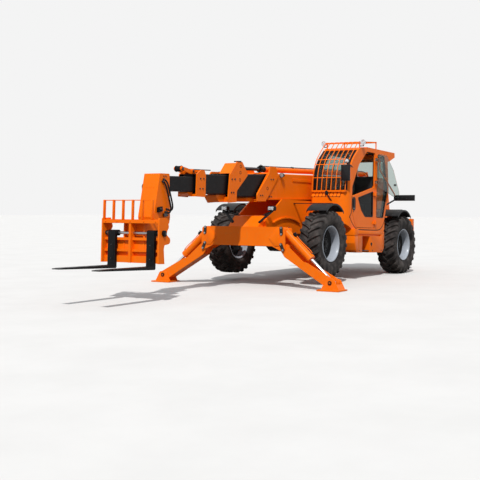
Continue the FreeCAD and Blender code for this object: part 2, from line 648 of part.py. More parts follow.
def boom_outer():
    half, low, high = BOOM_TUBES["outer"][2:5]
    tube = boom_tube("outer").cut(slab(MOUTH_CUT, "xz", -half - 1, half + 1))
    pivot = across(0, 0, FRAME_INNER - 42, 95)
    rib = slab(((3140, 66, 0), (3147, 107, 0), (3860, 127, 0), (3847, 84, 0)), "xz", half - 1, half + 14)
    foot = slab(((900, low - 2, 0), (4700, low - 2, 0), (4700, low + 14, 0), (900, low + 14, 0)), "xz",
                half - 2, half + 16)
    eye_x, eye_up = LIFT_EYE
    ears = slab(((eye_x - 190, low + 2, 0), (eye_x - 60, eye_up - 55, 50), (eye_x + 60, eye_up - 55, 50),
                 (eye_x + 190, low + 2, 0)), "xz", 70, 92)
    top_lugs = slab(((EXTEND_BARREL_REAR - 90, high - 2, 0), (EXTEND_BARREL_REAR - 30, EXTEND_AXIS + 45, 30),
                     (EXTEND_BARREL_REAR + 40, EXTEND_AXIS + 45, 30), (EXTEND_BARREL_REAR + 90, high - 2, 0)),
                    "xz", 60, 78)
    lug_pin = across(EXTEND_BARREL_REAR, EXTEND_AXIS, 70, 20)
    saddle = block(4520, 4640, -half - COLLAR_PLATE + 2, half + COLLAR_PLATE - 2, high - 2,
                   EXTEND_AXIS - EXTEND_BARREL_RADIUS - GLAND_STEP - FIT)
    body = fuse(tube, pivot, collar("outer"), both(rib), both(foot), both(ears), both(top_lugs), lug_pin,
                saddle, shoe("outer"), *wear_pads("outer", "second"))
    hole = across(0, 0, 400, BOOM_PIN_RADIUS + PIN_FIT)
    eye_room = block(eye_x - 150, eye_x + 150, -60, 60, low - 1, low + 60)
    return on_boom(body.cut(hole).cut(eye_room))


def boom_middle(name, inner_name):
    """Second or third section: tube, collar, pads and the shoe under the next one."""
    return [boom_tube(name), collar(name), shoe(name)] + wear_pads(name, inner_name)


def boom_second():
    half = BOOM_TUBES["second"][2]
    parts = boom_middle("second", "third")
    seat, end = EXTEND_SEAT, EXTEND_SEAT + 120
    parts.append(block(seat, end, -34, half + COLLAR_PLATE - 2, 352, 370))
    parts.append(slab(((5660, 352, 0), (5682, 368, 0), (5866, 186, 0), (5850, 174, 0)), "xz", -34, half + 2))
    rod_seat = slab(((seat, 352, 0), (end, 352, 0), (end, EXTEND_AXIS - 40, 20), (seat, EXTEND_AXIS - 40, 20)),
                    "xz", -34, 34)
    return on_boom(fuse(rod_seat, *parts))


def boom_third():
    high = BOOM_TUBES["third"][4]
    parts = boom_middle("third", "fourth")
    arm = slab(((6560, high - 2, 0), (6820, high - 2, 0), (6985, 205, 0), (7070, 232, 16), (7050, 275, 16),
                (6960, 262, 20), (6800, 226, 20), (6590, 226, 20)), "xz", 62, 78)
    sheave = across(7030, 240, 66, 42)
    boss = across(6760, 205, 86, 36)
    cross = block(6600, 6680, -165, 165, 196, 222)
    return on_boom(fuse(both(arm), sheave, boss, cross, *parts))


def head():
    """Fourth tube with the drop head welded to its end: two cheeks, sloped cover and top."""
    cheek = ((7475, 150, 10), (7702, 152, 20), (7860, -497, 40), (7812, -735, 60), (7655, -755, 50),
             (7480, -600, 30), (7460, -513, 60))
    plate = slab(cheek, "xz", HEAD_HALF - HEAD_PLATE, HEAD_HALF)
    cover = slab(((7702, 152, 0), (7862, -500, 0), (7840, -600, 0), (7822, -596, 0), (7844, -498, 0),
                  (7688, 138, 0)), "xz", -HEAD_HALF + 2, HEAD_HALF - 2)
    top = block(7477, 7700, -HEAD_HALF + 2, HEAD_HALF - 2, 138, 150)
    wall = block(7464, 7482, -HEAD_HALF + 2, HEAD_HALF - 2, -118, 140)
    tilt_x, tilt_up = TILT_PIVOT
    bush = both(rod(point(tilt_x, HEAD_HALF - HEAD_PLATE - 30, tilt_up), point(tilt_x, HEAD_HALF + 24, tilt_up), 68))
    top_pin = across(TILT_TOP[0], TILT_TOP[1], HEAD_HALF - 4, 22)
    body = fuse(boom_tube("fourth"), both(plate), cover, top, wall, bush, top_pin)
    return on_boom(body.cut(across(tilt_x, tilt_up, 300, TILT_PIN_RADIUS + PIN_FIT)))


def extend_barrel():
    end = COLLARS["outer"][0][0] + 160
    start = point(EXTEND_BARREL_REAR, 0, EXTEND_AXIS)
    return on_boom(cylinder_barrel(start, point(end, 0, EXTEND_AXIS), end - EXTEND_BARREL_REAR,
                                   EXTEND_BARREL_RADIUS, 40, 58, 20, EXTEND_ROD_RADIUS, Y_AXIS))


def extend_rod():
    return on_boom(rod(point(EXTEND_ROD_REAR, 0, EXTEND_AXIS), point(EXTEND_SEAT - FIT, 0, EXTEND_AXIS),
                       EXTEND_ROD_RADIUS))


def carriage():
    """Fork carriage: side plates with a pivot ear, beams, backrest, fork shaft and the arms to the head."""
    half, plate = CARRIAGE_HALF, CARRIAGE_PLATE
    side = slab(((CARRIAGE_FRONT, CARRIAGE_BOTTOM, 0), (CARRIAGE_FRONT, CARRIAGE_TOP, 20),
                 (CARRIAGE_REAR, CARRIAGE_TOP + 12, 20), (CARRIAGE_REAR - 20, 870, 30), (CARRIAGE_REAR - 50, 800, 40),
                 (CARRIAGE_REAR - 10, 745, 30), (CARRIAGE_REAR + 18, 640, 60), (CARRIAGE_REAR + 65, 480, 80),
                 (CARRIAGE_REAR + 40, CARRIAGE_BOTTOM, 0)), "xz", half - plate, half)
    inside = half - plate + 2
    beams = [
        # rear face, underside, front face, top
        (CARRIAGE_REAR + 2, 848, CARRIAGE_FRONT - 6, 900), (BEAM_FACE - 40, 600, BEAM_FACE, 640),
        (BEAM_FACE - 40, 432, BEAM_FACE, 468), (BEAM_FACE - 50, CARRIAGE_BOTTOM + 3, BEAM_FACE, 368)]
    shapes = [both(side)]
    shapes += [block(x0, x1, -inside, inside, z0, z1) for x0, z0, x1, z1 in beams]
    shapes.append(block(CARRIAGE_REAR + 40, BEAM_FACE - 2, -inside, inside, 890, 905))
    shapes.append(block(BEAM_FACE - 60, CARRIAGE_FRONT - 12, -30, 10, CARRIAGE_BOTTOM + 3, 850))
    shapes.append(block(BEAM_FACE - 60, BEAM_FACE - 48, -inside, inside, 466, 602))
    start, end = BACKREST_SPAN
    bar_front = CARRIAGE_FRONT - 8
    for index in range(BACKREST_BARS):
        y = start + (end - start) * index / (BACKREST_BARS - 1)
        shapes.append(block(bar_front - BACKREST_DEPTH, bar_front, y - BACKREST_BAR / 2, y + BACKREST_BAR / 2, 895,
                            BACKREST_TOP))
    shapes.append(block(bar_front - BACKREST_DEPTH, bar_front, start - BACKREST_BAR / 2, end + BACKREST_BAR / 2,
                        BACKREST_TOP - BACKREST_BAR, BACKREST_TOP))
    shaft_x, shaft_z = SHAFT_CENTRE
    shaft_hole = across(shaft_x, shaft_z, 700, SHAFT_RADIUS + FIT)
    pivot = boom_point(*TILT_PIVOT)
    eye = boom_point(*TILT_EYE)
    arm = slab(((pivot.x - 62, pivot.z + 10, 60), (pivot.x + 40, pivot.z + 75, 60), (CARRIAGE_REAR + 80, 850, 20),
                (CARRIAGE_REAR + 84, 440, 20), (CARRIAGE_REAR - 60, 480, 60), (eye.x + 30, eye.z - 70, 50),
                (eye.x - 62, eye.z - 30, 50), (pivot.x - 120, pivot.z - 110, 60)), "xz",
               HEAD_HALF + 26, HEAD_HALF + 50)
    shapes.append(both(arm))
    shapes.append(across(pivot.x, pivot.z, HEAD_HALF + 62, TILT_PIN_RADIUS))
    shapes.append(block(CARRIAGE_REAR + 10, CARRIAGE_REAR + 30, -HEAD_HALF - 30, HEAD_HALF + 30, 440, 850))
    stub = rod(point(eye.x, 50, eye.z), point(eye.x, HEAD_HALF + 30, eye.z), 34)
    shapes.append(both(stub))
    return fuse(*shapes).cut(shaft_hole)


def fork(y):
    """One fork hung on the shaft: eye, upright shank and tapered blade."""
    shaft_x, shaft_z = SHAFT_CENTRE
    back = BEAM_FACE + FIT
    front = back + FORK_THICKNESS
    low = FORK_BOTTOM
    profile = ((shaft_x - 5, shaft_z + 46, 30), (front, shaft_z + 40, 30), (front, low + FORK_THICKNESS, 16),
               (front + FORK_LENGTH - 90, low + FORK_TIP + 8, 0), (front + FORK_LENGTH, low + FORK_TIP, 0),
               (front + FORK_LENGTH, low, 0), (back, low, 26), (back, shaft_z - 44, 0), (shaft_x - 5, shaft_z - 44, 20))
    shape = slab(profile, "xz", y - FORK_WIDTH / 2, y + FORK_WIDTH / 2)
    hook = rod(point(shaft_x, y - FORK_WIDTH / 2, shaft_z), point(shaft_x, y + FORK_WIDTH / 2, shaft_z), 44)
    return shape.fuse(hook).cut(across(shaft_x, shaft_z, 700, SHAFT_RADIUS + FIT))


def forks():
    return Part.makeCompound([fork(y) for y in FORK_CENTRES])


def fork_shaft():
    half = CARRIAGE_HALF + 35
    shaft = across(SHAFT_CENTRE[0], SHAFT_CENTRE[1], half, SHAFT_RADIUS)
    catch = slab(((SHAFT_CENTRE[0] - 42, 640, 30), (SHAFT_CENTRE[0] + 34, 690, 30), (SHAFT_CENTRE[0] + 30, 752, 30),
                  (SHAFT_CENTRE[0] - 34, 740, 30)), "xz", CARRIAGE_HALF + FIT, half)
    return fuse(shaft, both(catch))


def cab_solid(corners, inner, outer, round_front):
    """Cab volume: a side profile, rounded in plan at its outer front corner."""
    body = slab(corners, "xz", inner - 20, outer + 20)
    nose = max(x for x, z, r in corners) - 1
    plan = slab(((500, inner, 0), (nose, inner, 60), (nose, outer, round_front), (500, outer, 0)), "xy",
                CAB_FLOOR - 10, CAB_ROOF + 10)
    return body.common(plan)


def cab_outside():
    return cab_solid(CAB_SIDE, CAB_INNER, CAB_OUTER, 200)


def cab_windows(play):
    """Cutters for the fixed windows, each window's outline shrunk by play."""
    return {
        "windscreen": slab(shrunk(WINDSCREEN, play), "yz", 2000, 2700),
        "skylight": slab(shrunk(SKYLIGHT, play), "xy", CAB_ROOF - 80, CAB_ROOF + 60),
        "quarter": slab(shrunk(QUARTER_WINDOW, play), "xz", CAB_OUTER - CAB_WALL - 10, CAB_OUTER + 10),
        "right": slab(shrunk(RIGHT_WINDOW, play), "xz", CAB_INNER - 10, CAB_INNER + CAB_WALL + 10),
        "rear": slab(shrunk(REAR_WINDOW, play), "yz", 600, 1000),
    }


def shrunk(corners, play):
    """Corners drawn in towards their middle so that each side moves in by about play."""
    middle_a = sum(c[0] for c in corners) / len(corners)
    middle_b = sum(c[1] for c in corners) / len(corners)
    return tuple((a - math.copysign(play, a - middle_a), b - math.copysign(play, b - middle_b), r)
                 for a, b, r in corners)


def cab_shell():
    shell = cab_outside()
    inside = cab_solid(CAB_INSIDE, CAB_INNER + CAB_WALL, CAB_OUTER - CAB_WALL, 160)
    shell = shell.cut(inside)
    for cutter in cab_windows(0).values():
        shell = shell.cut(cutter)
    opening = slab(DOOR_OPENING, "xz", CAB_OUTER - CAB_WALL - 5, CAB_OUTER + 10)
    return shell.cut(opening)


def cab_glass():
    """Fixed panes, each a thin sheet seated in its window."""
    frames = cab_windows(FIT)
    outer = slab(CAB_SIDE, "xz", CAB_INNER, CAB_OUTER)
    front = outer.copy()
    front.translate(point(-12, 0, 0))
    behind = outer.copy()
    behind.translate(point(-12 - GLASS, 0, 0))
    panes = [front.cut(behind).common(frames["windscreen"])]
    panes.append(frames["skylight"].common(block(0, 4000, 0, 2000, CAB_ROOF - 30, CAB_ROOF - 30 + GLASS)))
    panes.append(frames["quarter"].common(
        block(0, 4000, CAB_OUTER - 20, CAB_OUTER - 20 + GLASS, 0, 4000)))
    panes.append(frames["right"].common(block(0, 4000, CAB_INNER + 12, CAB_INNER + 12 + GLASS, 0, 4000)))
    outer.translate(point(12, 0, 0))
    rear = outer.copy()
    rear.translate(point(GLASS, 0, 0))
    panes.append(outer.cut(rear).common(frames["rear"]))
    return Part.makeCompound(panes)


def cab_roof():
    """Roof panel with the skylight cut out and the sloped visor behind the cab."""
    low = CAB_ROOF + FIT
    panel = block(470, 1750, CAB_INNER, CAB_OUTER, low, low + ROOF_PANEL)
    panel = panel.cut(slab(SKYLIGHT, "xy", CAB_ROOF, low + 40))
    visor = slab(((430, low + ROOF_PANEL, 10), (420, low - 80, 10), (715, low - 190, 20), (782, low - 190, 0),
                  (793, low - 60, 0), (793, low + ROOF_PANEL, 0)), "xz", CAB_INNER, CAB_OUTER)
    hollow = slab(((450, low - 12, 0), (445, low - 70, 0), (715, low - 172, 0), (765, low - 172, 0),
                   (770, low - 12, 0)), "xz", CAB_INNER + 14, CAB_OUTER - 14)
    return panel.fuse(visor.cut(hollow)).cut(cab_outside())


def guard_band(y):
    """One curved guard bar in its own upright plane."""
    return slab(GUARD_OUTER + GUARD_INSIDE, "xz", y - GUARD_BAR / 2, y + GUARD_BAR / 2)


def guard():
    first, last = GUARD_SPAN
    bars = [guard_band(first + (last - first) * index / (GUARD_BARS - 1)) for index in range(GUARD_BARS)]
    rails = [
        # rear face, front face, underside, top
        (2560, 2598, 1556, 1584), (2040, 2064, 2500, 2524), (1262, 1290, 2574, 2598)]
    shapes = bars + [block(x0, x1, first - 8, last + 8, z0, z1) for x0, x1, z0, z1 in rails]
    sheet = slab(GUARD_OUTER + GUARD_INSIDE, "xz", first, last)
    shapes += [sheet.common(block(2300, 2700, first, last, z, z + 12)) for z in GUARD_RUNGS]
    for y in (first, last):
        shapes.append(block(2524 + FIT, 2562, y - 12, y + 12, 1560, 1580))
        shapes.append(block(1266, 1284, y - 9, y + 9, CAB_ROOF + ROOF_PANEL + 2 * FIT, 2580))
        shapes.append(block(2000, 2018, y - 9, y + 9, CAB_ROOF - 60, 2532))
    return fuse(*shapes).cut(cab_outside())


def door():
    """Lower door: the opening's outline less its gap, up to the sloped rail, with its window cut."""
    low = CAB_OUTER - DOOR_THICKNESS
    leaf = slab(shrunk(DOOR_OPENING, DOOR_GAP), "xz", low, CAB_OUTER)
    below = slab(((1300, 800, 0), (2420, 800, 0), (2420, DOOR_RAIL_FRONT - 17, 0), (1300, DOOR_RAIL_REAR + 17, 0)),
                 "xz", low - 5, CAB_OUTER + 5)
    leaf = leaf.common(below)
    leaf = leaf.cut(slab(DOOR_WINDOW, "xz", low - 5, CAB_OUTER + 5))
    handle = slab(((2225, 1300, 20), (2275, 1300, 20), (2275, 1450, 20), (2225, 1450, 20)), "xz",
                  CAB_OUTER - 25, CAB_OUTER + 5)
    leaf = leaf.cut(handle)
    return fuse(leaf, *[hinge_leaf(z, CAB_OUTER - 2) for z in DOOR_HINGE_HEIGHTS])


def hinge_leaf(z, inside):
    """Hinge eye outside the cab's pillar with a strap that reaches in to a leaf's face."""
    x, y = DOOR_HINGE
    eye = rod(point(x, y, z - 30), point(x, y, z + 30), HINGE_RADIUS + 10)
    strap = block(x + 16, x + 70, inside, y + 4, z - 28, z + 28)
    return fuse(eye, strap).cut(rod(point(x, y, z - 60), point(x, y, z + 60), HINGE_RADIUS + PIN_FIT))


def hinge_post(z):
    """Pin and lugs on the cab's pillar that carry one hinge eye."""
    x, y = DOOR_HINGE
    pin = rod(point(x, y, z - 44), point(x, y, z + 44), HINGE_RADIUS)
    lugs = [block(x - 62, x + 12, CAB_OUTER - 3, y + 12, low, low + 12) for low in (z - 43, z + 31)]
    return fuse(pin, *lugs)


def door_glass():
    low = CAB_OUTER - DOOR_THICKNESS / 2
    return slab(shrunk(DOOR_WINDOW, FIT), "xz", low, low + GLASS)


def door_pane():
    """Upper half of the door: a glass leaf with two hinge eyes, swung back against the cab."""
    low = CAB_OUTER - DOOR_THICKNESS / 2
    leaf = slab(shrunk(DOOR_OPENING, DOOR_GAP + 4), "xz", low, low + GLASS)
    above = slab(((1300, DOOR_RAIL_REAR + 31, 0), (2420, DOOR_RAIL_FRONT - 3, 0), (2420, 2500, 0),
                  (1300, 2500, 0)), "xz", low - 5, CAB_OUTER + 5)
    leaf = leaf.common(above)
    return swung(fuse(leaf, *[hinge_leaf(z, low + GLASS - 1) for z in PANE_HINGE_HEIGHTS]))


def pane_bar():
    """Bent bar and latch knob on the upper leaf."""
    low = CAB_OUTER - DOOR_THICKNESS / 2 + GLASS
    bar = slab(((1440, 2250, 0), (1465, 2250, 20), (1480, 2060, 30), (2150, 1610, 20), (2150, 1580, 0),
                (1455, 2040, 40)), "xz", low, low + 14)
    knob = rod(point(2190, low, 1790), point(2190, low + 40, 1790), 22)
    return swung(bar), swung(knob)


def swung(shape):
    """Turns a closed pane piece to the open place it has at rest."""
    placed = shape.copy()
    placed.rotate(point(DOOR_HINGE[0], DOOR_HINGE[1], 0), Z_AXIS, PANE_OPEN)
    return placed


def seat():
    cushion = slab(((1130, 1240, 30), (1640, 1240, 40), (1650, 1350, 45), (1130, 1330, 30)), "xz", 480, 960)
    back = slab(((1105, 1290, 20), (1240, 1290, 20), (1150, 1960, 50), (1030, 1960, 50)), "xz", 494, 946)
    base = block(1180, 1560, 540, 900, CAB_FLOOR + CAB_WALL, 1245)
    return fuse(cushion, back, base)


def steering_column():
    """Dash, column and steering wheel in front of the seat."""
    dash = slab(((2150, CAB_FLOOR + CAB_WALL, 0), (2280, CAB_FLOOR + CAB_WALL, 0), (2430, 1420, 40),
                 (2120, 1440, 40), (2060, 1330, 40)), "xz", 560, 880)
    hub = point(*STEERING_HUB)
    way = point(*STEERING_WAY).normalize()
    column = rod(point(2100, hub.y, 1370), hub, COLUMN_RADIUS)
    wheel = Part.makeTorus(STEERING_RADIUS, STEERING_GRIP, hub, way)
    spokes = rod(hub - way * 12, hub + way * 6, STEERING_RADIUS - 10)
    return fuse(dash, column, spokes, wheel)


def mirrors():
    """Tall mirror with a small round one above it, on an arm from the left front pillar."""
    glass = slab(((2590, 985, 25), (2640, 985, 25), (2640, 1170, 25), (2590, 1170, 25)), "xy", 1750, 2045)
    knee = point(2610, 1110, 2092)
    left_arm = fuse(rod(point(2330, 1080, 2020), knee, 11), rod(knee, point(2610, 1110, 2030), 11))
    small = rod(point(2600, 1110, 2118), point(2632, 1110, 2118), 45)
    return fuse(glass, left_arm, small).cut(cab_outside())


def lamp(centre, direction, radius, depth):
    way = direction.normalize()
    return Part.makeCone(radius * 0.6, radius, depth, centre - way * depth, way)


def work_lamps():
    """Round lamps beside the guard's corner posts and square ones on arms over the nose."""
    shapes = []
    first, last = GUARD_SPAN
    for centre in WORK_LAMP_CENTRES:
        x, y, z = centre
        post = first - 9 - FIT if y < first else last + 9 + FIT
        stay = block(2002, 2016, min(y, post), max(y, post), z - 74, z - 60)
        stem = rod(point(2009, y, z - 68), point(2009, y, z - 30), 8)
        bowl = lamp(point(*centre), point(1, 0, -0.05), WORK_LAMP_RADIUS, ROUND_LAMP_DEPTH)
        shapes.append(fuse(stay, stem, bowl))
    half_y, half_z = NOSE_LAMP_HALF
    for y in NOSE_LAMP_PLACES:
        side = math.copysign(1, y)
        foot_pad = block(4100, 4170, *sorted((side * 250, side * 300)), 1060 + FIT, 1072)
        arm = rod(point(4150, side * 280, 1070), point(4204, y, 1130), 13)
        stem = block(4190, 4218, y - 14, y + 14, 1118, 1150)
        box = slab(((y - half_y, 1184 - half_z, 12), (y + half_y, 1184 - half_z, 12), (y + half_y, 1184 + half_z, 12),
                    (y - half_y, 1184 + half_z, 12)), "yz", 4172, 4240)
        shapes.append(fuse(foot_pad, arm, stem, box))
    return shapes


def boom_lamp():
    """Round lamp on a stub at the first tube's left side, facing along the boom."""
    along, left, up = BOOM_LAMP
    stub = rod(point(along - 40, BOOM_TUBES["outer"][2] + FIT, up), point(along - 40, left, up), 14)
    return on_boom(fuse(stub, lamp(point(along, left, up), X_AXIS, BOOM_LAMP_RADIUS, ROUND_LAMP_DEPTH)))


def rear_lamps():
    """Bar lamp above each rear wheel: on a bent tube from the cab, and on one from the engine box."""
    x = REAR_LAMP
    near, far = REAR_LAMP_SPAN
    low, high = REAR_LAMP_HEIGHTS
    knee = point(x, near + 30, low + 30)
    rounded = ((x - 25, low, 12), (x + 25, low, 12), (x + 25, high, 12), (x - 25, high, 12))
    box = slab(rounded, "xz", near, far)
    left = fuse(rod(point(860, CAB_OUTER - 30, 1350), knee, REAR_LAMP_ARM), box).cut(cab_outside())
    plate_y = 920
    face = ENGINE_BOX[0] - FIT
    back = face - REAR_LAMP_FLANGE
    flange = block(back, face, -plate_y - 40, -plate_y + 40, 1180, 1260)
    arm = rod(point(back, -plate_y, 1220), point(knee.x, -knee.y, knee.z), REAR_LAMP_ARM)
    right = fuse(flange, arm, mirror(box))
    return Part.makeCompound([left, right])


def fender(x_centre, top, side):
    """Curved mudguard with a lip down both edges, on a flat bar from the frame."""
    centre_z = top - FENDER_RADIUS
    low = TRACK / 2 - TYRE_HALF_WIDTH
    high = TRACK / 2 + TYRE_HALF_WIDTH

    def ring(y_low, y_high, depth):
        outside = rod(point(x_centre, y_low, centre_z), point(x_centre, y_high, centre_z), FENDER_RADIUS)
        return outside.cut(rod(point(x_centre, y_low - 1, centre_z), point(x_centre, y_high + 1, centre_z),
                               FENDER_RADIUS - depth))

    hoop = fuse(ring(low, high, FENDER_WALL), ring(low, low + FENDER_WALL, FENDER_LIP),
                ring(high - FENDER_WALL, high, FENDER_LIP))
    hoop = hoop.common(block(x_centre - FENDER_HALF, x_centre + FENDER_HALF, low - 1, high + 1, centre_z, top + 1))
    bar = block(x_centre - 25, x_centre + 25, FRAME_INNER + FRAME_PLATE + FIT, high - 60, top - 4, top + 8)
    shape = fuse(hoop, bar)
    return shape if side > 0 else mirror(shape)


def skirt():
    """Tank box under the cab with a step recess, a front step and a groove along its side."""
    rear, front, low, high = SKIRT
    inner = FRAME_INNER + FRAME_PLATE + FIT
    body = slab(((rear, low + 90, 60), (rear + 90, low, 40), (front, low, 30), (front, high, 0), (rear, high, 30)),
                "xz", inner, SKIRT_OUTER)
    body = body.cut(block(rear + 60, front - 340, SKIRT_OUTER - 25, SKIRT_OUTER + 5, 762, 782))
    step = slab(((1560, 735, 15), (1850, 742, 15), (1815, 500, 25)), "xz", SKIRT_OUTER - 180, SKIRT_OUTER + 5)
    body = body.cut(step)
    foothold = block(front - 300, front - 30, SKIRT_OUTER - 150, SKIRT_OUTER + 5, 640, 800)
    return body.cut(foothold)


def engine_box():
    """Engine housing on the right side, open below its louvres, around the engine."""
    rear, front, low, high = ENGINE_BOX
    inner = -(FRAME_INNER + FRAME_PLATE + FIT)
    body = slab(((-ENGINE_OUTER, low, 50), (inner, low, 0), (inner, high, 0), (-ENGINE_OUTER + 60, high, 110),
                 (-ENGINE_OUTER, high - 160, 90)), "yz", rear, front)
    hollow = slab(((-ENGINE_OUTER + BOX_WALL, low + BOX_WALL, 30), (inner - BOX_WALL, low + BOX_WALL, 0),
                   (inner - BOX_WALL, high - BOX_WALL, 0), (-ENGINE_OUTER + 90, high - BOX_WALL, 90),
                   (-ENGINE_OUTER + BOX_WALL, high - 175, 70)), "yz", rear + BOX_WALL, front - BOX_WALL)
    body = body.cut(hollow)
    for index in range(LOUVRES):
        z = low + 150 + index * 62
        body = body.cut(block(rear + 180, rear + 900, -ENGINE_OUTER - 5, -ENGINE_OUTER + BOX_WALL + 5, z, z + 26))
    return body


def engine():
    low = ENGINE_BOX[2] + BOX_WALL
    return block(*ENGINE_BLOCK, low, low + ENGINE_HEIGHT)


def exhaust():
    """Silencer stack behind the engine box."""
    x, y = EXHAUST_PLACE
    base = ENGINE_BOX[3]
    top = base + EXHAUST_HEIGHT
    stack = rod(point(x, y, base + FIT), point(x, y, top), EXHAUST_RADIUS)
    return stack.cut(rod(point(x, y, base + 60), point(x, y, top + 1), EXHAUST_RADIUS - EXHAUST_WALL))


def wheel_shapes():
    """Tyre and rim of a left wheel, centred at the origin."""
    return tyre(), rim()


def build():
    """All pieces of the level machine by node name."""
    nodes = {}
    tyre_shape, rim_shape = wheel_shapes()
    knuckle_shape = knuckle()
    axle_shape = axle()
    corners = (
        # name, axle position, side
        ("front_left", WHEELBASE, 1), ("front_right", WHEELBASE, -1), ("rear_left", 0.0, 1), ("rear_right", 0.0, -1))
    for name, x, side in corners:
        hub = point(x, side * TRACK / 2, TYRE_RADIUS)
        king = point(x, side * (TRACK / 2 - KINGPIN_INSET), TYRE_RADIUS)
        level_tyre = tyre_shape.copy()
        level_tyre.rotate(ORIGIN, Y_AXIS, PITCH)
        nodes["tyre_" + name] = moved(level_tyre, hub)
        nodes["rim_" + name] = moved(rim_shape if side > 0 else mirror(rim_shape), hub)
        nodes["knuckle_" + name] = moved(knuckle_shape if side > 0 else mirror(knuckle_shape), king)
    nodes["front_axle"] = moved(axle_shape, point(WHEELBASE, 0, TYRE_RADIUS))
    nodes["rear_axle"] = moved(axle_shape, point(0, 0, TYRE_RADIUS))
    nodes["chassis_frame"] = chassis()
    nodes["boom_pivot_pin"] = across(BOOM_PIVOT[0], BOOM_PIVOT[1], FRAME_INNER + FRAME_PLATE + 24, BOOM_PIN_RADIUS)
    nodes["counterweight"] = counterweight()
    nodes["stabiliser_beam"] = stabiliser_beam()
    nodes["side_tank"] = skirt()
    nodes["engine_box"] = engine_box()
    nodes["engine"] = engine()
    nodes["exhaust"] = exhaust()
    nodes["fenders"] = Part.makeCompound([fender(x, top, side) for x, top in FENDER_PLACES for side in (1, -1)])
    nodes["cab_shell"] = fuse(cab_shell(), *[hinge_post(z) for z in DOOR_HINGE_HEIGHTS + PANE_HINGE_HEIGHTS])
    nodes["cab_glass"] = cab_glass()
    nodes["cab_roof"] = cab_roof()
    nodes["cab_guard"] = guard()
    nodes["door"] = door()
    nodes["door_glass"] = door_glass()
    nodes["door_pane"] = door_pane()
    bar, knob = pane_bar()
    nodes["pane_bar"] = bar
    nodes["pane_knob"] = knob
    nodes["seat"] = seat()
    nodes["steering_column"] = steering_column()
    nodes["mirrors"] = mirrors()
    nodes["work_lamps"] = Part.makeCompound(work_lamps())
    nodes["rear_lamps"] = rear_lamps()
    nodes["boom_outer"] = boom_outer()
    nodes["boom_lamp"] = boom_lamp()
    nodes["boom_second"] = boom_second()
    nodes["boom_third"] = boom_third()
    nodes["boom_head"] = head()
    nodes["extend_barrel"] = extend_barrel()
    nodes["extend_rod"] = extend_rod()
    nodes.update(lift_cylinder())
    nodes.update(tilt_cylinder())
    nodes["carriage"] = carriage()
    nodes["forks"] = forks()
    nodes["fork_shaft"] = fork_shaft()
    nodes.update(leg_pieces())
    return nodes


def moved(shape, offset):
    placed = shape.copy()
    placed.translate(offset)
    return placed


def lift_cylinder():
    base = point(LIFT_BASE[0], 0, LIFT_BASE[1])
    tip = boom_point(*LIFT_EYE)
    return {
        "lift_barrel": cylinder_barrel(base, tip, LIFT_BARREL_LENGTH, LIFT_BARREL_RADIUS, 62, 84,
                                       LIFT_PIN_RADIUS, LIFT_ROD_RADIUS, Y_AXIS),
        "lift_rod": cylinder_rod(base, tip, LIFT_ROD_RADIUS, LIFT_ROD_LENGTH, 48, 50, Y_AXIS)}


def tilt_cylinder():
    base = boom_point(*TILT_TOP)
    tip = boom_point(*TILT_EYE)
    return {
        "tilt_barrel": cylinder_barrel(base, tip, TILT_BARREL_LENGTH, TILT_BARREL_RADIUS, 44, 45, 22,
                                       TILT_ROD_RADIUS, Y_AXIS),
        "tilt_rod": cylinder_rod(base, tip, TILT_ROD_RADIUS, TILT_ROD_LENGTH, 38, 45, Y_AXIS)}


def leg_pieces():
    """Leg, foot, cylinder barrel and rod of each side."""
    base = point(BEAM_CENTRE, *CYLINDER_PIN)
    tip = point(BEAM_CENTRE, *FOOT_PIN)
    left = {
        "leg": leg(), "foot": foot(),
        "leg_barrel": cylinder_barrel(base, tip, LEG_BARREL_LENGTH, LEG_BARREL_RADIUS, 55, 70, CYLINDER_PIN_RADIUS,
                                      LEG_ROD_RADIUS, X_AXIS),
        "leg_rod": cylinder_rod(base, tip, LEG_ROD_RADIUS, LEG_ROD_LENGTH, LEG_EYE_RADIUS, 60, X_AXIS)}
    pieces = {}
    for name, shape in left.items():
        pieces[name + "_left"] = shape
        pieces[name + "_right"] = mirror(shape)
    return pieces


def park(nodes):
    """Tips the machine nose up about its rear axle and centres its footprint on the origin."""
    whole = FreeCAD.BoundBox()
    for name in nodes:
        shape = nodes[name].copy()
        shape.rotate(point(0, 0, TYRE_RADIUS), Y_AXIS, -PITCH)
        nodes[name] = shape
        whole.add(shape.BoundBox)
    shift = point(-(whole.XMin + whole.XMax) / 2, -(whole.YMin + whole.YMax) / 2, 0)
    for shape in nodes.values():
        shape.translate(shift)
    return shift


pieces = build()
park_shift = park(pieces)
for node, shape in pieces.items():
    shape.exportStep("parts/" + node + ".step")
print(len(pieces), "pieces, shifted by", park_shift)
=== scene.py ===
import bpy
import bmesh
import math
from mathutils import Matrix, Vector


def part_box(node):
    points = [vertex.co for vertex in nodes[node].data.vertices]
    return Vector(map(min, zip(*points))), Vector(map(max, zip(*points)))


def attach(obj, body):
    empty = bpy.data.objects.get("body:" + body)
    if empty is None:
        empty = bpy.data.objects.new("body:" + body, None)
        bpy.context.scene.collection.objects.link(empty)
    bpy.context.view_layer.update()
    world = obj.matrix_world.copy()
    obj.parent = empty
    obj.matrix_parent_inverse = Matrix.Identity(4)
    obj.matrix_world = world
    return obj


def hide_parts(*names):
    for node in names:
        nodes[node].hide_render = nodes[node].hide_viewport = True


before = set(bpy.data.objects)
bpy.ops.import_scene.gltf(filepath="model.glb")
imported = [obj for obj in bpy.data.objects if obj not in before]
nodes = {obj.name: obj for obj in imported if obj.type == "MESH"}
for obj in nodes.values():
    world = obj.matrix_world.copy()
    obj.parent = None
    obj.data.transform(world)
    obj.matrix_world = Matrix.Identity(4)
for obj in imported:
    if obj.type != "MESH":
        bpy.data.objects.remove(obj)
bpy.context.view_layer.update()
print("stage: frame loaded with", len(nodes), "nodes")

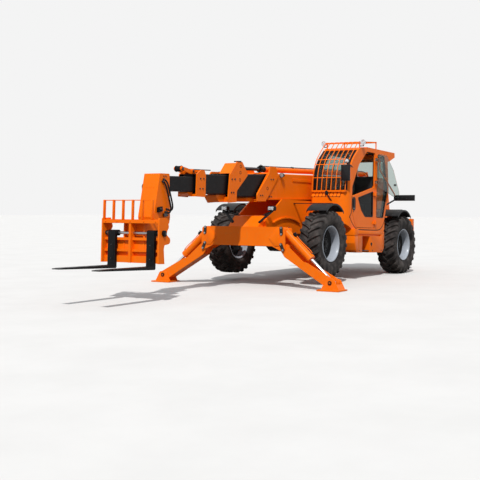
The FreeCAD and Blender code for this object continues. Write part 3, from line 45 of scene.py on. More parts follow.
# the machine is drawn level, X forward, Y left, Z up, millimetres, rear axle at X 0;
# it is parked nose up about its rear axle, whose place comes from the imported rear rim
stance = {
    "wheelbase": 3250.0,
    "halfTrack": 975.0,
    "frontLift": 129.0,
    "tyreRadius": 590.0,
    "boomPivot": (-750.0, 1820.0),
    "boomDroop": 2.7,
    "toMetres": 0.001,
}
rimLow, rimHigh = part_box("rim_rear_left")
rearAxleX = (rimLow[0] + rimHigh[0]) / 2
axleHeight = stance["tyreRadius"] * stance["toMetres"]
pitch = math.asin(stance["frontLift"] / stance["wheelbase"])
parkedFrame = Matrix.Translation((rearAxleX, 0, axleHeight)) @ Matrix.Rotation(-pitch, 4, "Y") \
    @ Matrix.Translation((0, 0, -axleHeight))
machineSpace = parkedFrame @ Matrix.Scale(stance["toMetres"], 4)
boomSpace = machineSpace @ Matrix.Translation((stance["boomPivot"][0], 0, stance["boomPivot"][1])) \
    @ Matrix.Rotation(math.radians(stance["boomDroop"]), 4, "Y")

# camera, as the photograph was taken: about 17 m off on the front left, at chest height
shot = {
    "aheadOfAxle": 17.8437,
    "left": 8.6681,
    "height": 1.4042,
    "yaw": 32.95,
    "focalPixels": 921.43,
    "horizonShift": -0.0724,
    "imageSize": 480,
    "sensor": 36.0,
}
cameraData = bpy.data.cameras.new("camera")
cameraData.sensor_fit = "HORIZONTAL"
cameraData.sensor_width = shot["sensor"]
cameraData.lens = shot["focalPixels"] * shot["sensor"] / shot["imageSize"]
cameraData.shift_y = shot["horizonShift"]
cameraData.clip_end = 200
camera = bpy.data.objects.new("camera", cameraData)
camera.location = (rearAxleX + shot["aheadOfAxle"], shot["left"], shot["height"])
camera.rotation_euler = (math.radians(90), 0, math.radians(90 + shot["yaw"]))
bpy.context.scene.collection.objects.link(camera)
bpy.context.scene.camera = camera
bpy.context.scene.view_settings.view_transform = "Standard"


def hexColour(code, alpha=1.0):
    parts = [int(code[i:i + 2], 16) / 255 for i in (1, 3, 5)]
    linear = [c / 12.92 if c <= 0.04045 else ((c + 0.055) / 1.055) ** 2.4 for c in parts]
    return (*linear, alpha)


def addNode(tree, kind, values=None, links=None, **settings):
    # values set a socket by name or number, links join it to another node's output
    node = tree.nodes.new(kind)
    for name, value in settings.items():
        setattr(node, name, value)
    for socket, value in (values or {}).items():
        node.inputs[socket].default_value = value
    for socket, (source, output) in (links or {}).items():
        tree.links.new(source.outputs[output], node.inputs[socket])
    return node


def newMaterial(name):
    material = bpy.data.materials.new(name)
    material.use_nodes = True
    tree = material.node_tree
    tree.nodes.clear()
    coords = addNode(tree, "ShaderNodeTexCoord")
    return material, tree, coords


def finishMaterial(tree, shader):
    addNode(tree, "ShaderNodeOutputMaterial", links={"Surface": (shader, "BSDF")})


def noiseAt(tree, coords, millimetres, detail=4.0, roughness=0.6):
    # one noise feature is about as wide as the size given
    return addNode(tree, "ShaderNodeTexNoise",
                   {"Scale": 1000.0 / millimetres, "Detail": detail, "Roughness": roughness},
                   {"Vector": (coords, "Object")})


def mixColours(tree, factor, first, second, lowEdge=0.35, highEdge=0.65):
    # first and second are a colour, or a node and its output
    spread = addNode(tree, "ShaderNodeMapRange", {"From Min": lowEdge, "From Max": highEdge}, {"Value": factor})
    mixer = addNode(tree, "ShaderNodeMix", data_type="RGBA")
    tree.links.new(spread.outputs[0], mixer.inputs[0])
    for socket, source in ((6, first), (7, second)):
        if isinstance(source[0], float):
            mixer.inputs[socket].default_value = source
        else:
            tree.links.new(source[0].outputs[source[1]], mixer.inputs[socket])
    return mixer


def enamelShader(tree, coords, paint):
    # sprayed enamel: slight clouding, orange-peel bump, a thin film of road dust that is thicker near the ground
    cloud = noiseAt(tree, coords, 420)
    film = noiseAt(tree, coords, 60, detail=6.0)
    peel = noiseAt(tree, coords, 2.4, detail=2.0)
    base = mixColours(tree, (cloud, 0), hexColour(paint["main"]), hexColour(paint["shade"]), 0.3, 0.75)
    split = addNode(tree, "ShaderNodeSeparateXYZ", links={0: (coords, "Object")})
    low = addNode(tree, "ShaderNodeMapRange", {"From Min": 1.3, "From Max": 0.0, "To Min": 0.0, "To Max": 0.16},
                  {"Value": (split, "Z")})
    settled = addNode(tree, "ShaderNodeMath", links={0: (film, 0), 1: (low, 0)}, operation="ADD")
    dusty = mixColours(tree, (settled, 0), (base, 2), hexColour(paint["dust"]), 0.6, 1.35)
    rough = addNode(tree, "ShaderNodeMapRange",
                    {"From Min": 0.3, "From Max": 0.75, "To Min": paint["rough"] - 0.08, "To Max": paint["rough"] + 0.12},
                    {"Value": (film, 0)})
    bump = addNode(tree, "ShaderNodeBump", {"Strength": 0.12, "Distance": 0.0004}, {"Height": (peel, 0)})
    return addNode(tree, "ShaderNodeBsdfPrincipled",
                   {"Coat Weight": paint["coat"], "Coat Roughness": 0.12, "Specular IOR Level": paint["specular"]},
                   {"Base Color": (dusty, 2), "Roughness": (rough, 0), "Normal": (bump, 0)})


def paintedFinish(name, paint):
    material, tree, coords = newMaterial(name)
    finishMaterial(tree, enamelShader(tree, coords, paint))
    return material


def insideBox(tree, coords, toLocal, low, high):
    # 1 within the box from low to high, drawn in the space that toLocal leads to, and 0 outside it
    turn = addNode(tree, "ShaderNodeMapping",
                   {"Location": toLocal.to_translation(), "Rotation": toLocal.to_euler()},
                   {"Vector": (coords, "Object")})
    split = addNode(tree, "ShaderNodeSeparateXYZ", links={0: (turn, 0)})
    inside = None
    for axis, least, most in zip("XYZ", low, high):
        for limit, test in ((least, "GREATER_THAN"), (most, "LESS_THAN")):
            step = addNode(tree, "ShaderNodeMath", {1: limit}, {0: (split, axis)}, operation=test)
            inside = step if inside is None else addNode(tree, "ShaderNodeMath", links={0: (inside, 0), 1: (step, 0)},
                                                         operation="MULTIPLY")
    return inside


def twoColourFinish(name, space, low, high, inner, outer):
    # one welded piece sprayed in two colours, masked along a box in its own space
    material, tree, coords = newMaterial(name)
    low, high = [[c * stance["toMetres"] for c in corner] for corner in (low, high)]
    inside = insideBox(tree, coords, space.inverted(), low, high)
    blend = addNode(tree, "ShaderNodeMixShader", links={0: (inside, 0), 1: (enamelShader(tree, coords, outer), 0),
                                                        2: (enamelShader(tree, coords, inner), 0)})
    addNode(tree, "ShaderNodeOutputMaterial", links={"Surface": (blend, 0)})
    return material


def metalFinish(name, metal):
    # turned or drawn metal: fine lines along the part, bright with soft streaks
    material, tree, coords = newMaterial(name)
    grain = noiseAt(tree, coords, metal["grain"], detail=3.0)
    rough = addNode(tree, "ShaderNodeMapRange", {"From Min": 0.3, "From Max": 0.7, "To Min": metal["rough"] * 0.7,
                                                 "To Max": metal["rough"] * 1.4}, {"Value": (grain, 0)})
    bump = addNode(tree, "ShaderNodeBump", {"Strength": 0.08, "Distance": 0.0003}, {"Height": (grain, 0)})
    shader = addNode(tree, "ShaderNodeBsdfPrincipled", {"Base Color": hexColour(metal["colour"]), "Metallic": 1.0},
                     {"Roughness": (rough, 0), "Normal": (bump, 0)})
    finishMaterial(tree, shader)
    return material


def rubberFinish(name, rubber):
    # moulded rubber or plastic: dull black with pale dust held in its pores
    material, tree, coords = newMaterial(name)
    patches = noiseAt(tree, coords, rubber["patch"], detail=6.0)
    pores = noiseAt(tree, coords, rubber["pore"], detail=4.0)
    base = mixColours(tree, (patches, 0), hexColour(rubber["black"]), hexColour(rubber["dust"]), 0.42, 0.8)
    bump = addNode(tree, "ShaderNodeBump", {"Strength": 0.3, "Distance": 0.001}, {"Height": (pores, 0)})
    shader = addNode(tree, "ShaderNodeBsdfPrincipled",
                     {"Roughness": rubber["rough"], "Specular IOR Level": rubber["specular"]},
                     {"Base Color": (base, 2), "Normal": (bump, 0)})
    finishMaterial(tree, shader)
    return material


def glassFinish(name, glass):
    # float glass with a faint tint, or a moulded lamp lens; handling smears change its gloss a little
    material, tree, coords = newMaterial(name)
    smear = noiseAt(tree, coords, 160, detail=4.0)
    rough = addNode(tree, "ShaderNodeMapRange", {"From Min": 0.35, "From Max": 0.75, "To Min": glass["rough"],
                                                 "To Max": glass["rough"] + 0.04}, {"Value": (smear, 0)})
    shader = addNode(tree, "ShaderNodeBsdfPrincipled",
                     {"Base Color": hexColour(glass["tint"]), "IOR": glass["ior"], "Transmission Weight": glass["clear"],
                      "Specular IOR Level": glass["specular"]},
                     {"Roughness": (rough, 0)})
    finishMaterial(tree, shader)
    return material


orangePaint = {"main": "#F4720A", "shade": "#EE6A06", "dust": "#C9823F", "rough": 0.36, "coat": 0.04, "specular": 0.09}
blackPaint = {"main": "#0C0C0E", "shade": "#09090B", "dust": "#26221F", "rough": 0.45, "coat": 0.03, "specular": 0.12}
orangeEnamel = paintedFinish("orangeEnamel", orangePaint)
satinBlack = paintedFinish("satinBlackPaint", blackPaint)
wheelSilver = paintedFinish("silverWheelPaint", {"main": "#A3A8AF", "shade": "#969BA3", "dust": "#857C74",
                                                 "rough": 0.4, "coat": 0.1, "specular": 0.35})
darkCasting = paintedFinish("darkCastIron", {"main": "#19191B", "shade": "#131315", "dust": "#37322D", "rough": 0.62,
                                             "coat": 0.0, "specular": 0.2})
hardChrome = metalFinish("hardChrome", {"colour": "#DCDFE2", "rough": 0.12, "grain": 6.0})
pinSteel = metalFinish("turnedSteel", {"colour": "#A6A8AA", "rough": 0.3, "grain": 3.0})
# dark steel for bolts and fittings; on the chrome extend rod this dark colour is a painted dark reflection
darkSteelAndPaintedReflection = metalFinish("phosphatedSteelAndPaintedReflection", {"colour": "#4A4B4E", "rough": 0.36, "grain": 4.0})
tyreRubber = rubberFinish("tyreRubber", {"black": "#2B2827", "dust": "#5F5854", "patch": 150, "pore": 3.0,
                                         "rough": 0.85, "specular": 0.15})
hoseRubber = rubberFinish("hoseRubber", {"black": "#0E0E0F", "dust": "#1B1A19", "patch": 60, "pore": 2.0,
                                         "rough": 0.6, "specular": 0.15})
mouldedPlastic = rubberFinish("mouldedBlackPlastic", {"black": "#101113", "dust": "#202022", "patch": 200, "pore": 1.5,
                                                      "rough": 0.5, "specular": 0.22})
seatVinyl = rubberFinish("embossedSeatVinyl", {"black": "#141517", "dust": "#1F2023", "patch": 90, "pore": 4.0,
                                               "rough": 0.55, "specular": 0.25})
cabGlass = glassFinish("tintedCabGlass", {"tint": "#BCC8C3", "clear": 0.98, "rough": 0.0, "specular": 0.12,
                                          "ior": 1.2})
smokedGlass = glassFinish("smokedDoorGlass", {"tint": "#565D5F", "clear": 0.96, "rough": 0.0, "specular": 0.1,
                                              "ior": 1.12})
lampLens = glassFinish("clearLampLens", {"tint": "#F2F4F5", "clear": 0.7, "rough": 0.08, "specular": 0.5,
                                         "ior": 1.45})
redLens = glassFinish("redLampLens", {"tint": "#C01812", "clear": 0.3, "rough": 0.12, "specular": 0.5,
                                      "ior": 1.45})
amberLens = glassFinish("amberLampLens", {"tint": "#E87A10", "clear": 0.3, "rough": 0.12, "specular": 0.5,
                                          "ior": 1.45})
mirrorSilver = metalFinish("silveredReflector", {"colour": "#E4E6E8", "rough": 0.1, "grain": 30.0})

# the sliding tubes and the long cylinder's black front end, drawn along the boom from its pivot
tubes = {
    "boom_second": {"rear": 900, "front": 5892, "half": 195, "low": -205, "high": 190, "margin": 0.6},
    "boom_third": {"rear": 1600, "front": 6805, "half": 161, "low": -158, "high": 163, "margin": 0.6},
    "boom_head": {"rear": 2300, "front": 7474, "half": 131, "low": -118, "high": 118, "margin": 0.6},
    "extend_barrel": {"rear": 4480, "front": 5400, "half": 90, "low": 200, "high": 380, "margin": 0.6},
}
parkedBoom = parkedFrame @ Matrix.Translation([c * stance["toMetres"] for c in
                                               (stance["boomPivot"][0], 0, stance["boomPivot"][1])]) \
    @ Matrix.Rotation(math.radians(stance["boomDroop"]), 4, "Y")
twoColours = {}
for name, tube in tubes.items():
    low = [c - tube["margin"] for c in (tube["rear"], -tube["half"], tube["low"])]
    high = [c + tube["margin"] for c in (tube["front"], tube["half"], tube["high"])]
    twoColours[name] = twoColourFinish(name + "Paint", parkedBoom, low, high, blackPaint, orangePaint)
# black band round the windscreen, orange corner pillars beside it
screenBand = {"low": (2120.0, 354.0, 1562.0), "high": (2700.0, 1064.0, 2384.0)}
twoColours["cab_shell"] = twoColourFinish("cabShellPaint", parkedFrame, screenBand["low"], screenBand["high"],
                                          blackPaint, orangePaint)

wheelPlaces = {
    # corner: axle place along the machine, side
    "front_left": (stance["wheelbase"], 1), "front_right": (stance["wheelbase"], -1),
    "rear_left": (0.0, 1), "rear_right": (0.0, -1),
}
print("stage: materials made")

finishOf = [
    (orangeEnamel, ("chassis_frame", "stabiliser_beam", "counterweight", "side_tank", "engine_box", "cab_roof",
                    "cab_guard", "door", "pane_bar", "boom_outer", "carriage",
                    "leg_left", "leg_right", "foot_left", "foot_right", "leg_barrel_left", "leg_barrel_right")),
    (satinBlack, ("forks", "exhaust", "lift_barrel", "tilt_barrel")),
    (darkCasting, ("front_axle", "rear_axle", "engine", "knuckle_front_left", "knuckle_front_right",
                   "knuckle_rear_left", "knuckle_rear_right")),
    (hardChrome, ("lift_rod", "tilt_rod", "leg_rod_left", "leg_rod_right")),
    (pinSteel, ("boom_pivot_pin", "fork_shaft")),
    (wheelSilver, ("rim_front_left", "rim_front_right", "rim_rear_left", "rim_rear_right")),
    # the extend rod is chrome; the dark steel on it is a painted dark reflection, not its own finish
    (darkSteelAndPaintedReflection, ("extend_rod",)),
    (tyreRubber, ("tyre_front_left", "tyre_front_right", "tyre_rear_left", "tyre_rear_right")),
    (mouldedPlastic, ("fenders", "mirrors", "work_lamps", "rear_lamps", "boom_lamp", "pane_knob",
                      "steering_column")),
    (seatVinyl, ("seat",)),
    (cabGlass, ("cab_glass", "door_pane")),
    (smokedGlass, ("door_glass",)),
]
finishOf += [(finish, (name,)) for name, finish in twoColours.items()]
for finish, names in finishOf:
    for name in names:
        for materialSlot in nodes[name].material_slots:
            materialSlot.material = finish
print("stage: CAD nodes dressed")


# shapes are drawn in millimetres and take their place on the machine when a piece is finished
def onPlane(plane, a, b, height):
    return Vector({"xz": (a, height, b), "yz": (height, a, b), "xy": (a, b, height)}[plane])


def softenEdges(part, width, segments=2, sharpest=40):
    if width:
        sharp = [edge for edge in part.edges
                 if edge.is_manifold and edge.calc_face_angle(0) > math.radians(sharpest)]
        bmesh.ops.bevel(part, geom=sharp, offset=width, offset_type="OFFSET", segments=segments, profile=0.5,
                        affect="EDGES", material=-1, clamp_overlap=True)


def outlineShape(corners, plane, height, rounding=4):
    # corners are (a, b, radius); each is rounded in the outline's own plane
    part = bmesh.new()
    places = [onPlane(plane, a, b, height) for a, b, radius in corners]
    verts = [part.verts.new(place) for place in places]
    part.faces.new(verts)
    for index, (a, b, radius) in enumerate(corners):
        if radius:
            before = places[index - 1] - places[index]
            after = places[(index + 1) % len(places)] - places[index]
            run = radius / math.tan(before.angle(after) / 2)
            bmesh.ops.bevel(part, geom=[verts[index]], offset=run, offset_type="OFFSET", segments=rounding,
                            profile=0.5, affect="VERTICES", material=-1, clamp_overlap=True)
    return part


def plate(corners, plane, low, high, chamfer=1.5, rounding=4):
    part = outlineShape(corners, plane, low, rounding)
    pushed = bmesh.ops.extrude_face_region(part, geom=part.faces[:], use_keep_orig=True)
    moved = [item for item in pushed["geom"] if isinstance(item, bmesh.types.BMVert)]
    bmesh.ops.translate(part, vec=onPlane(plane, 0, 0, high - low), verts=moved)
    bmesh.ops.recalc_face_normals(part, faces=part.faces)
    softenEdges(part, chamfer)
    return part


def boxBetween(low, high, chamfer=1.5):
    corners = ((low[0], low[1], 0), (high[0], low[1], 0), (high[0], high[1], 0), (low[0], high[1], 0))
    return plate(corners, "xy", low[2], high[2], chamfer)


def rodBetween(start, end, radius, endRadius=None, sides=20, chamfer=0.0):
    start, end = Vector(start), Vector(end)
    way = end - start
    part = bmesh.new()
    place = Matrix.Translation((start + end) / 2) @ way.to_track_quat("Z", "Y").to_matrix().to_4x4()
    bmesh.ops.create_cone(part, cap_ends=True, cap_tris=False, segments=sides, radius1=radius,
                          radius2=radius if endRadius is None else endRadius, depth=way.length, matrix=place)
    softenEdges(part, chamfer, 2, 60)
    return part


def turnedShape(profile, centre, direction, steps=40, closed=False):
    # profile is (along, radius) about the direction
    part = bmesh.new()
    verts = [part.verts.new((0, radius, along)) for along, radius in profile]
    ends = verts[1:] + (verts[:1] if closed else [])
    edges = [part.edges.new(pair) for pair in zip(verts, ends)]
    bmesh.ops.spin(part, geom=verts + edges, cent=(0, 0, 0), axis=(0, 0, 1), angle=math.tau, steps=steps,
                   use_merge=True, use_duplicate=False)
    bmesh.ops.remove_doubles(part, verts=part.verts, dist=0.01)
    turn = Vector(direction).to_track_quat("Z", "Y").to_matrix().to_4x4()
    bmesh.ops.transform(part, matrix=Matrix.Translation(centre) @ turn, verts=part.verts)
    bmesh.ops.recalc_face_normals(part, faces=part.faces)
    return part


def join(target, part, finish=0, move=None):
    # adds a shape to a piece, with the number of its material there
    if move is not None:
        bmesh.ops.transform(part, matrix=move, verts=part.verts)
    bmesh.ops.recalc_face_normals(part, faces=part.faces)
    for face in part.faces:
        face.material_index = finish
    data = bpy.data.meshes.new("shape")
    part.to_mesh(data)
    part.free()
    target.from_mesh(data)
    bpy.data.meshes.remove(data)


def placePiece(name, target, finishes, body, space, sharpest=38):
    # a finished piece sits at the origin, its place is in its mesh
    bmesh.ops.transform(target, matrix=space, verts=target.verts)
    data = bpy.data.meshes.new(name)
    target.to_mesh(data)
    target.free()
    for finish in finishes:
        data.materials.append(finish)
    data.shade_smooth()
    data.set_sharp_from_angle(angle=math.radians(sharpest))
    piece = bpy.data.objects.new(name, data)
    bpy.context.scene.collection.objects.link(piece)
    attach(piece, body)
    return piece


def addBolt(target, centre, direction, acrossFlats, finish=0):
    # washer and hexagon head
    centre, way = Vector(centre), Vector(direction).normalized()
    join(target, rodBetween(centre - way, centre + way * 2, acrossFlats * 0.72, sides=16), finish)
    join(target, rodBetween(centre + way * 2, centre + way * (2 + acrossFlats * 0.5), acrossFlats * 0.56, sides=6,
                            chamfer=acrossFlats * 0.05), finish)


def hoseRuns(name, runs, radius, body, space, finish=None):
    # hoses held at both ends, each a smooth line through the places given
    data = bpy.data.curves.new(name, "CURVE")
    data.dimensions = "3D"
    data.bevel_depth = radius * stance["toMetres"]
    data.bevel_resolution = 3
    data.resolution_u = 6
    data.use_fill_caps = True
    for places in runs:
        spline = data.splines.new("NURBS")
        spline.points.add(len(places) - 1)
        for handle, place in zip(spline.points, places):
            handle.co = (*(space @ Vector(place)), 1.0)
        spline.order_u = min(4, len(places))
        spline.use_endpoint_u = True
    data.materials.append(finish or hoseRubber)
    piece = bpy.data.objects.new(name, data)
    bpy.context.scene.collection.objects.link(piece)
    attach(piece, body)
    return piece


# tyres: a turned carcass with a rim guard, and chevron bars that wrap the shoulder
tyre = {
    "steps": 96,
    "barsPerSide": 24,
    "section": ((127, 307), (146, 312), (148, 330), (160, 349), (168, 351), (171, 359), (181, 376), (195, 405),
                (202, 438), (202, 474), (197, 508), (189, 531), (176, 545), (120, 551), (60, 554)),
    "barStations": (
        # across the tread, along it, half width at the foot, at the top, radius of the foot, of the top
        (-8, 78, 27, 19, 544, 590), (22, 52, 27, 20, 544, 590), (60, 25, 28, 21, 544, 590),
        (100, 0, 29, 22, 542, 589.5), (140, -22, 30, 23, 538, 588), (170, -38, 31, 24, 528, 584),
        (190, -48, 31, 24, 506, 568), (201, -54, 29, 21, 488, 540), (204, -57, 24, 14, 474, 504)),
}


def treadBar():
    part = bmesh.new()
    face = None
    for acrossTread, along, footHalf, topHalf, footRadius, topRadius in tyre["barStations"]:
        corners = []
        for offset, radius in ((-footHalf, footRadius), (footHalf, footRadius), (topHalf, topRadius),
                               (-topHalf, topRadius)):
            x = along + offset
            corners.append(Vector((x, acrossTread, math.sqrt(radius ** 2 - x ** 2))))
        if face is None:
            face = part.faces.new([part.verts.new(corner) for corner in corners])
            keep = True
        else:
            pushed = bmesh.ops.extrude_face_region(part, geom=[face], use_keep_orig=keep)
            face = [item for item in pushed["geom"] if isinstance(item, bmesh.types.BMFace)][0]
            for vert, corner in zip(face.verts, corners):
                vert.co = corner
            keep = False
    bmesh.ops.recalc_face_normals(part, faces=part.faces)
    return part


def makeTyre(corner, axleX, side):
    shape = bmesh.new()
    half = list(tyre["section"])
    section = [(y, r) for y, r in half] + [(-y, r) for y, r in reversed(half)]
    join(shape, turnedShape(section, (0, 0, 0), (0, 1, 0), tyre["steps"], closed=True))
    turn = math.tau / tyre["barsPerSide"]
    for index in range(tyre["barsPerSide"]):
        for flip, shift in ((1, 0.0), (-1, 0.5)):
            bar = treadBar()
            if flip < 0:
                bmesh.ops.transform(bar, matrix=Matrix.Scale(-1, 4, (0, 1, 0)), verts=bar.verts)
            join(shape, bar, 0, Matrix.Rotation((index + shift) * turn, 4, "Y"))
    hub = Matrix.Translation((axleX, side * stance["halfTrack"], stance["tyreRadius"])) \
        @ Matrix.Rotation(pitch, 4, "Y")
    piece = placePiece("tyre_body_" + corner, shape, [tyreRubber], "wheel_" + corner, machineSpace @ hub, 30)
    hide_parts("tyre_" + corner)


# wheels: silver barrel with rolled lips, black dished disc and hub
wheel = {
    "barrel": ((165, 316), (163, 321), (154, 322), (150, 316), (149, 304), (-149, 304), (-150, 316), (-154, 322),
               (-163, 321), (-165, 316), (-162, 304), (-148, 292), (-40, 290), (30, 282), (96, 283), (120, 288),
               (148, 296), (160, 304)),
    "disc": ((18, 287), (6, 274), (-14, 246), (-26, 224), (-31, 212), (-31, 118), (-52, 118), (-52, 216), (-44, 236),
             (-28, 262), (-12, 287)),
    "hub": ((-52, 0.01), (-52, 128), (22, 128), (36, 122), (50, 100), (50, 0.01)),
    "steps": 72,
}


def makeRim(corner, axleX, side):
    shape = bmesh.new()
    join(shape, turnedShape(wheel["barrel"], (0, 0, 0), (0, side, 0), wheel["steps"], closed=True), 0)
    join(shape, turnedShape(wheel["disc"], (0, 0, 0), (0, side, 0), wheel["steps"], closed=True), 1)
    join(shape, turnedShape(wheel["hub"], (0, 0, 0), (0, side, 0), 48), 1)
    hub = Matrix.Translation((axleX, side * stance["halfTrack"], stance["tyreRadius"]))
    piece = placePiece("rim_body_" + corner, shape, [wheelSilver, satinBlack], "wheel_" + corner,
                       machineSpace @ hub, 30)
    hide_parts("rim_" + corner)


# wheel nuts on the black disc, studs round the hub's cover and its drain plug, and the tyre valve
wheelTrim = {
    "discFace": -31.0,
    "hubFace": 50.0,
    "nutCircle": 178.0,
    "nuts": 10,
    "nutSize": 32.0,
    "coverCircle": 84.0,
    "coverBolts": 8,
    "coverBoltSize": 17.0,
    "valveRadius": 262.0,
}


def makeWheelTrim(corner, axleX, side):
    shape = bmesh.new()
    for index in range(wheelTrim["nuts"]):
        angle = math.tau * index / wheelTrim["nuts"]
        x, z = wheelTrim["nutCircle"] * math.sin(angle), wheelTrim["nutCircle"] * math.cos(angle)
        addBolt(shape, (x, wheelTrim["discFace"], z), (0, 1, 0), wheelTrim["nutSize"])
        join(shape, rodBetween((x, wheelTrim["discFace"], z), (x, wheelTrim["discFace"] + 34, z), 11, sides=12, chamfer=1))
    for index in range(wheelTrim["coverBolts"]):
        angle = math.tau * (index + 0.5) / wheelTrim["coverBolts"]
        x, z = wheelTrim["coverCircle"] * math.sin(angle), wheelTrim["coverCircle"] * math.cos(angle)
        addBolt(shape, (x, wheelTrim["hubFace"], z), (0, 1, 0), wheelTrim["coverBoltSize"], 1)
    cover = ((-2, 0.01), (-2, 60), (8, 60), (14, 52), (14, 24), (20, 20), (20, 0.01))
    join(shape, turnedShape(cover, (0, wheelTrim["hubFace"], 0), (0, 1, 0), 32), 1)
    collar = ((0, 131), (0, 148), (10, 148), (16, 140), (16, 131))
    join(shape, turnedShape(collar, (0, wheelTrim["discFace"] - 1, 0), (0, 1, 0), 40, closed=True), 1)
    valve = (wheelTrim["valveRadius"], 4, 0)
    join(shape, rodBetween(valve, (valve[0], valve[1] + 46, 0), 5, sides=12, chamfer=1), 0)
    flip = Matrix.Scale(side, 4, (0, 1, 0))
    hub = Matrix.Translation((axleX, side * stance["halfTrack"], stance["tyreRadius"]))
    if side < 0:
        bmesh.ops.transform(shape, matrix=flip, verts=shape.verts)
        bmesh.ops.reverse_faces(shape, faces=shape.faces)
    placePiece("wheel_nuts_" + corner, shape, [darkSteelAndPaintedReflection, satinBlack], "wheel_" + corner, machineSpace @ hub)


for corner, (axleX, side) in wheelPlaces.items():
    makeTyre(corner, axleX, side)
    makeRim(corner, axleX, side)
    makeWheelTrim(corner, axleX, side)
print("stage: tyres and wheel nuts made")

# stabilisers: slotted pin keepers with two bright bolts on both faces of the beam, and caps on the foot pins
keeper = {
    "length": 150.0,
    "width": 60.0,
    "thickness": 9.0,
    "boltSpread": 52.0,
    "boltSize": 26.0,
    "pinRing": 20.0,
    "beamFront": 4410.0,
    "beamRear": 4154.0,
    "places": ((785.0, 792.0, 4.0), (803.0, 520.0, 24.0)),
}
keeperShape = bmesh.new()
for side in (1, -1):
    for pinY, pinZ, tilt in keeper["places"]:
        for face, way in ((keeper["beamFront"], 1), (keeper["beamRear"], -1)):
            half, run = keeper["width"] / 2, keeper["length"] / 2
            corners = ((-half, -run, half - 1), (half, -run, half - 1), (half, run, half - 1), (-half, run, half - 1))
            lean = Matrix.Translation((0, side * pinY, pinZ)) @ Matrix.Rotation(math.radians(side * tilt), 4, "X")
            near, far = sorted((face - way, face + way * keeper["thickness"]))
            join(keeperShape, plate(corners, "yz", near, far, 2.5, 8), 0, lean)
            outerFace = face + way * keeper["thickness"]
            for spot in (-keeper["boltSpread"], keeper["boltSpread"]):
                spotAt = lean @ Vector((outerFace, 0, spot))
                addBolt(keeperShape, spotAt, (way, 0, 0), keeper["boltSize"], 1)
            ring = ((-1, 12), (-1, keeper["pinRing"]), (4, keeper["pinRing"]), (4, 12))
            join(keeperShape, turnedShape(ring, lean @ Vector((outerFace, 0, 0)), (way, 0, 0), 24, closed=True), 2)
placePiece("pin_keepers", keeperShape, [mouldedPlastic, pinSteel, darkSteelAndPaintedReflection], "root", machineSpace)

# welded doubling plates on the beam's ends, pointed towards its middle
beamPlate = {"corners": ((540, 672, 8), (712, 858, 6), (748, 856, 6), (748, 538, 6), (662, 534, 6)), "thickness": 12.0}
beamShape = bmesh.new()
for side in (1, -1):
    corners = [(side * y, z, radius) for y, z, radius in beamPlate["corners"]][::side]
    for face, way in ((keeper["beamFront"], 1), (keeper["beamRear"], -1)):
        near, far = sorted((face - way, face + way * beamPlate["thickness"]))
        join(beamShape, plate(corners, "yz", near, far, 6), 0)
placePiece("beam_end_plates", beamShape, [orangeEnamel], "root", machineSpace)

footPin = {"y": 1717.0, "z": -42.0, "centre": 4282.0, "reach": 134.0, "radius": 36.0}
for label, side in (("left", 1), ("right", -1)):
    capShape = bmesh.new()
    for way in (1, -1):
        face = (footPin["centre"] + way * footPin["reach"], side * footPin["y"], footPin["z"])
        profile = ((-14, 27), (-14, 34), (0, 34), (3, 30), (3, 17), (-3, 15), (-3, 0.01))
        join(capShape, turnedShape(profile, face, (way, 0, 0), 28), 0)
        addBolt(capShape, (face[0] - way * 3, face[1], face[2]), (way, 0, 0), 14, 1)
    placePiece("foot_pin_caps_" + label, capShape, [satinBlack, darkSteelAndPaintedReflection], "foot_" + label, machineSpace)

# leg cylinders: feed block with two nipples, a hexagon fitting further along the barrel, and an orange pipe between
# them
legFeed = {"cylinderPin": (785.0, 800.0), "footPin": (1717.0, -42.0), "centre": 4282.0}
for label, side in (("left", 1), ("right", -1)):
    base = Vector((legFeed["centre"], side * legFeed["cylinderPin"][0], legFeed["cylinderPin"][1]))
    tip = Vector((legFeed["centre"], side * legFeed["footPin"][0], legFeed["footPin"][1]))
    run = (tip - base).normalized()
    out = Vector((0, -run.z, run.y))
    if out.z < 0:
        out = -out
    feedShape = bmesh.new()
    blockAt = base + run * 190 + out * 60
    turn = Matrix((Vector((1, 0, 0)), run, out)).transposed().to_4x4()
    join(feedShape, boxBetween((-26, -34, 0), (26, 34, 44), 4), 0, Matrix.Translation(blockAt) @ turn)
    topAt = base + run * 190 + out * 100
    for shift in (-16, 16):
        nipple = topAt + run * shift
        join(feedShape, rodBetween(nipple, nipple + out * 22, 11, sides=6, chamfer=1), 1)
    join(feedShape, rodBetween(base + run * 640 + out * 60, base + run * 640 + out * 88, 14, sides=6, chamfer=1), 1)
    placePiece("leg_feed_" + label, feedShape, [satinBlack, darkSteelAndPaintedReflection], "leg_barrel_" + label,
               machineSpace)
    pipe = [base + run * 640 + out * 84, base + run * 600 + out * 100, base + run * 420 + out * 82,
            base + run * 300 + out * 84, base + run * 232 + out * 92]
    hoseRuns("leg_pipe_" + label, [pipe], 7, "leg_barrel_" + label, machineSpace, orangeEnamel)
print("stage: stabiliser details made")

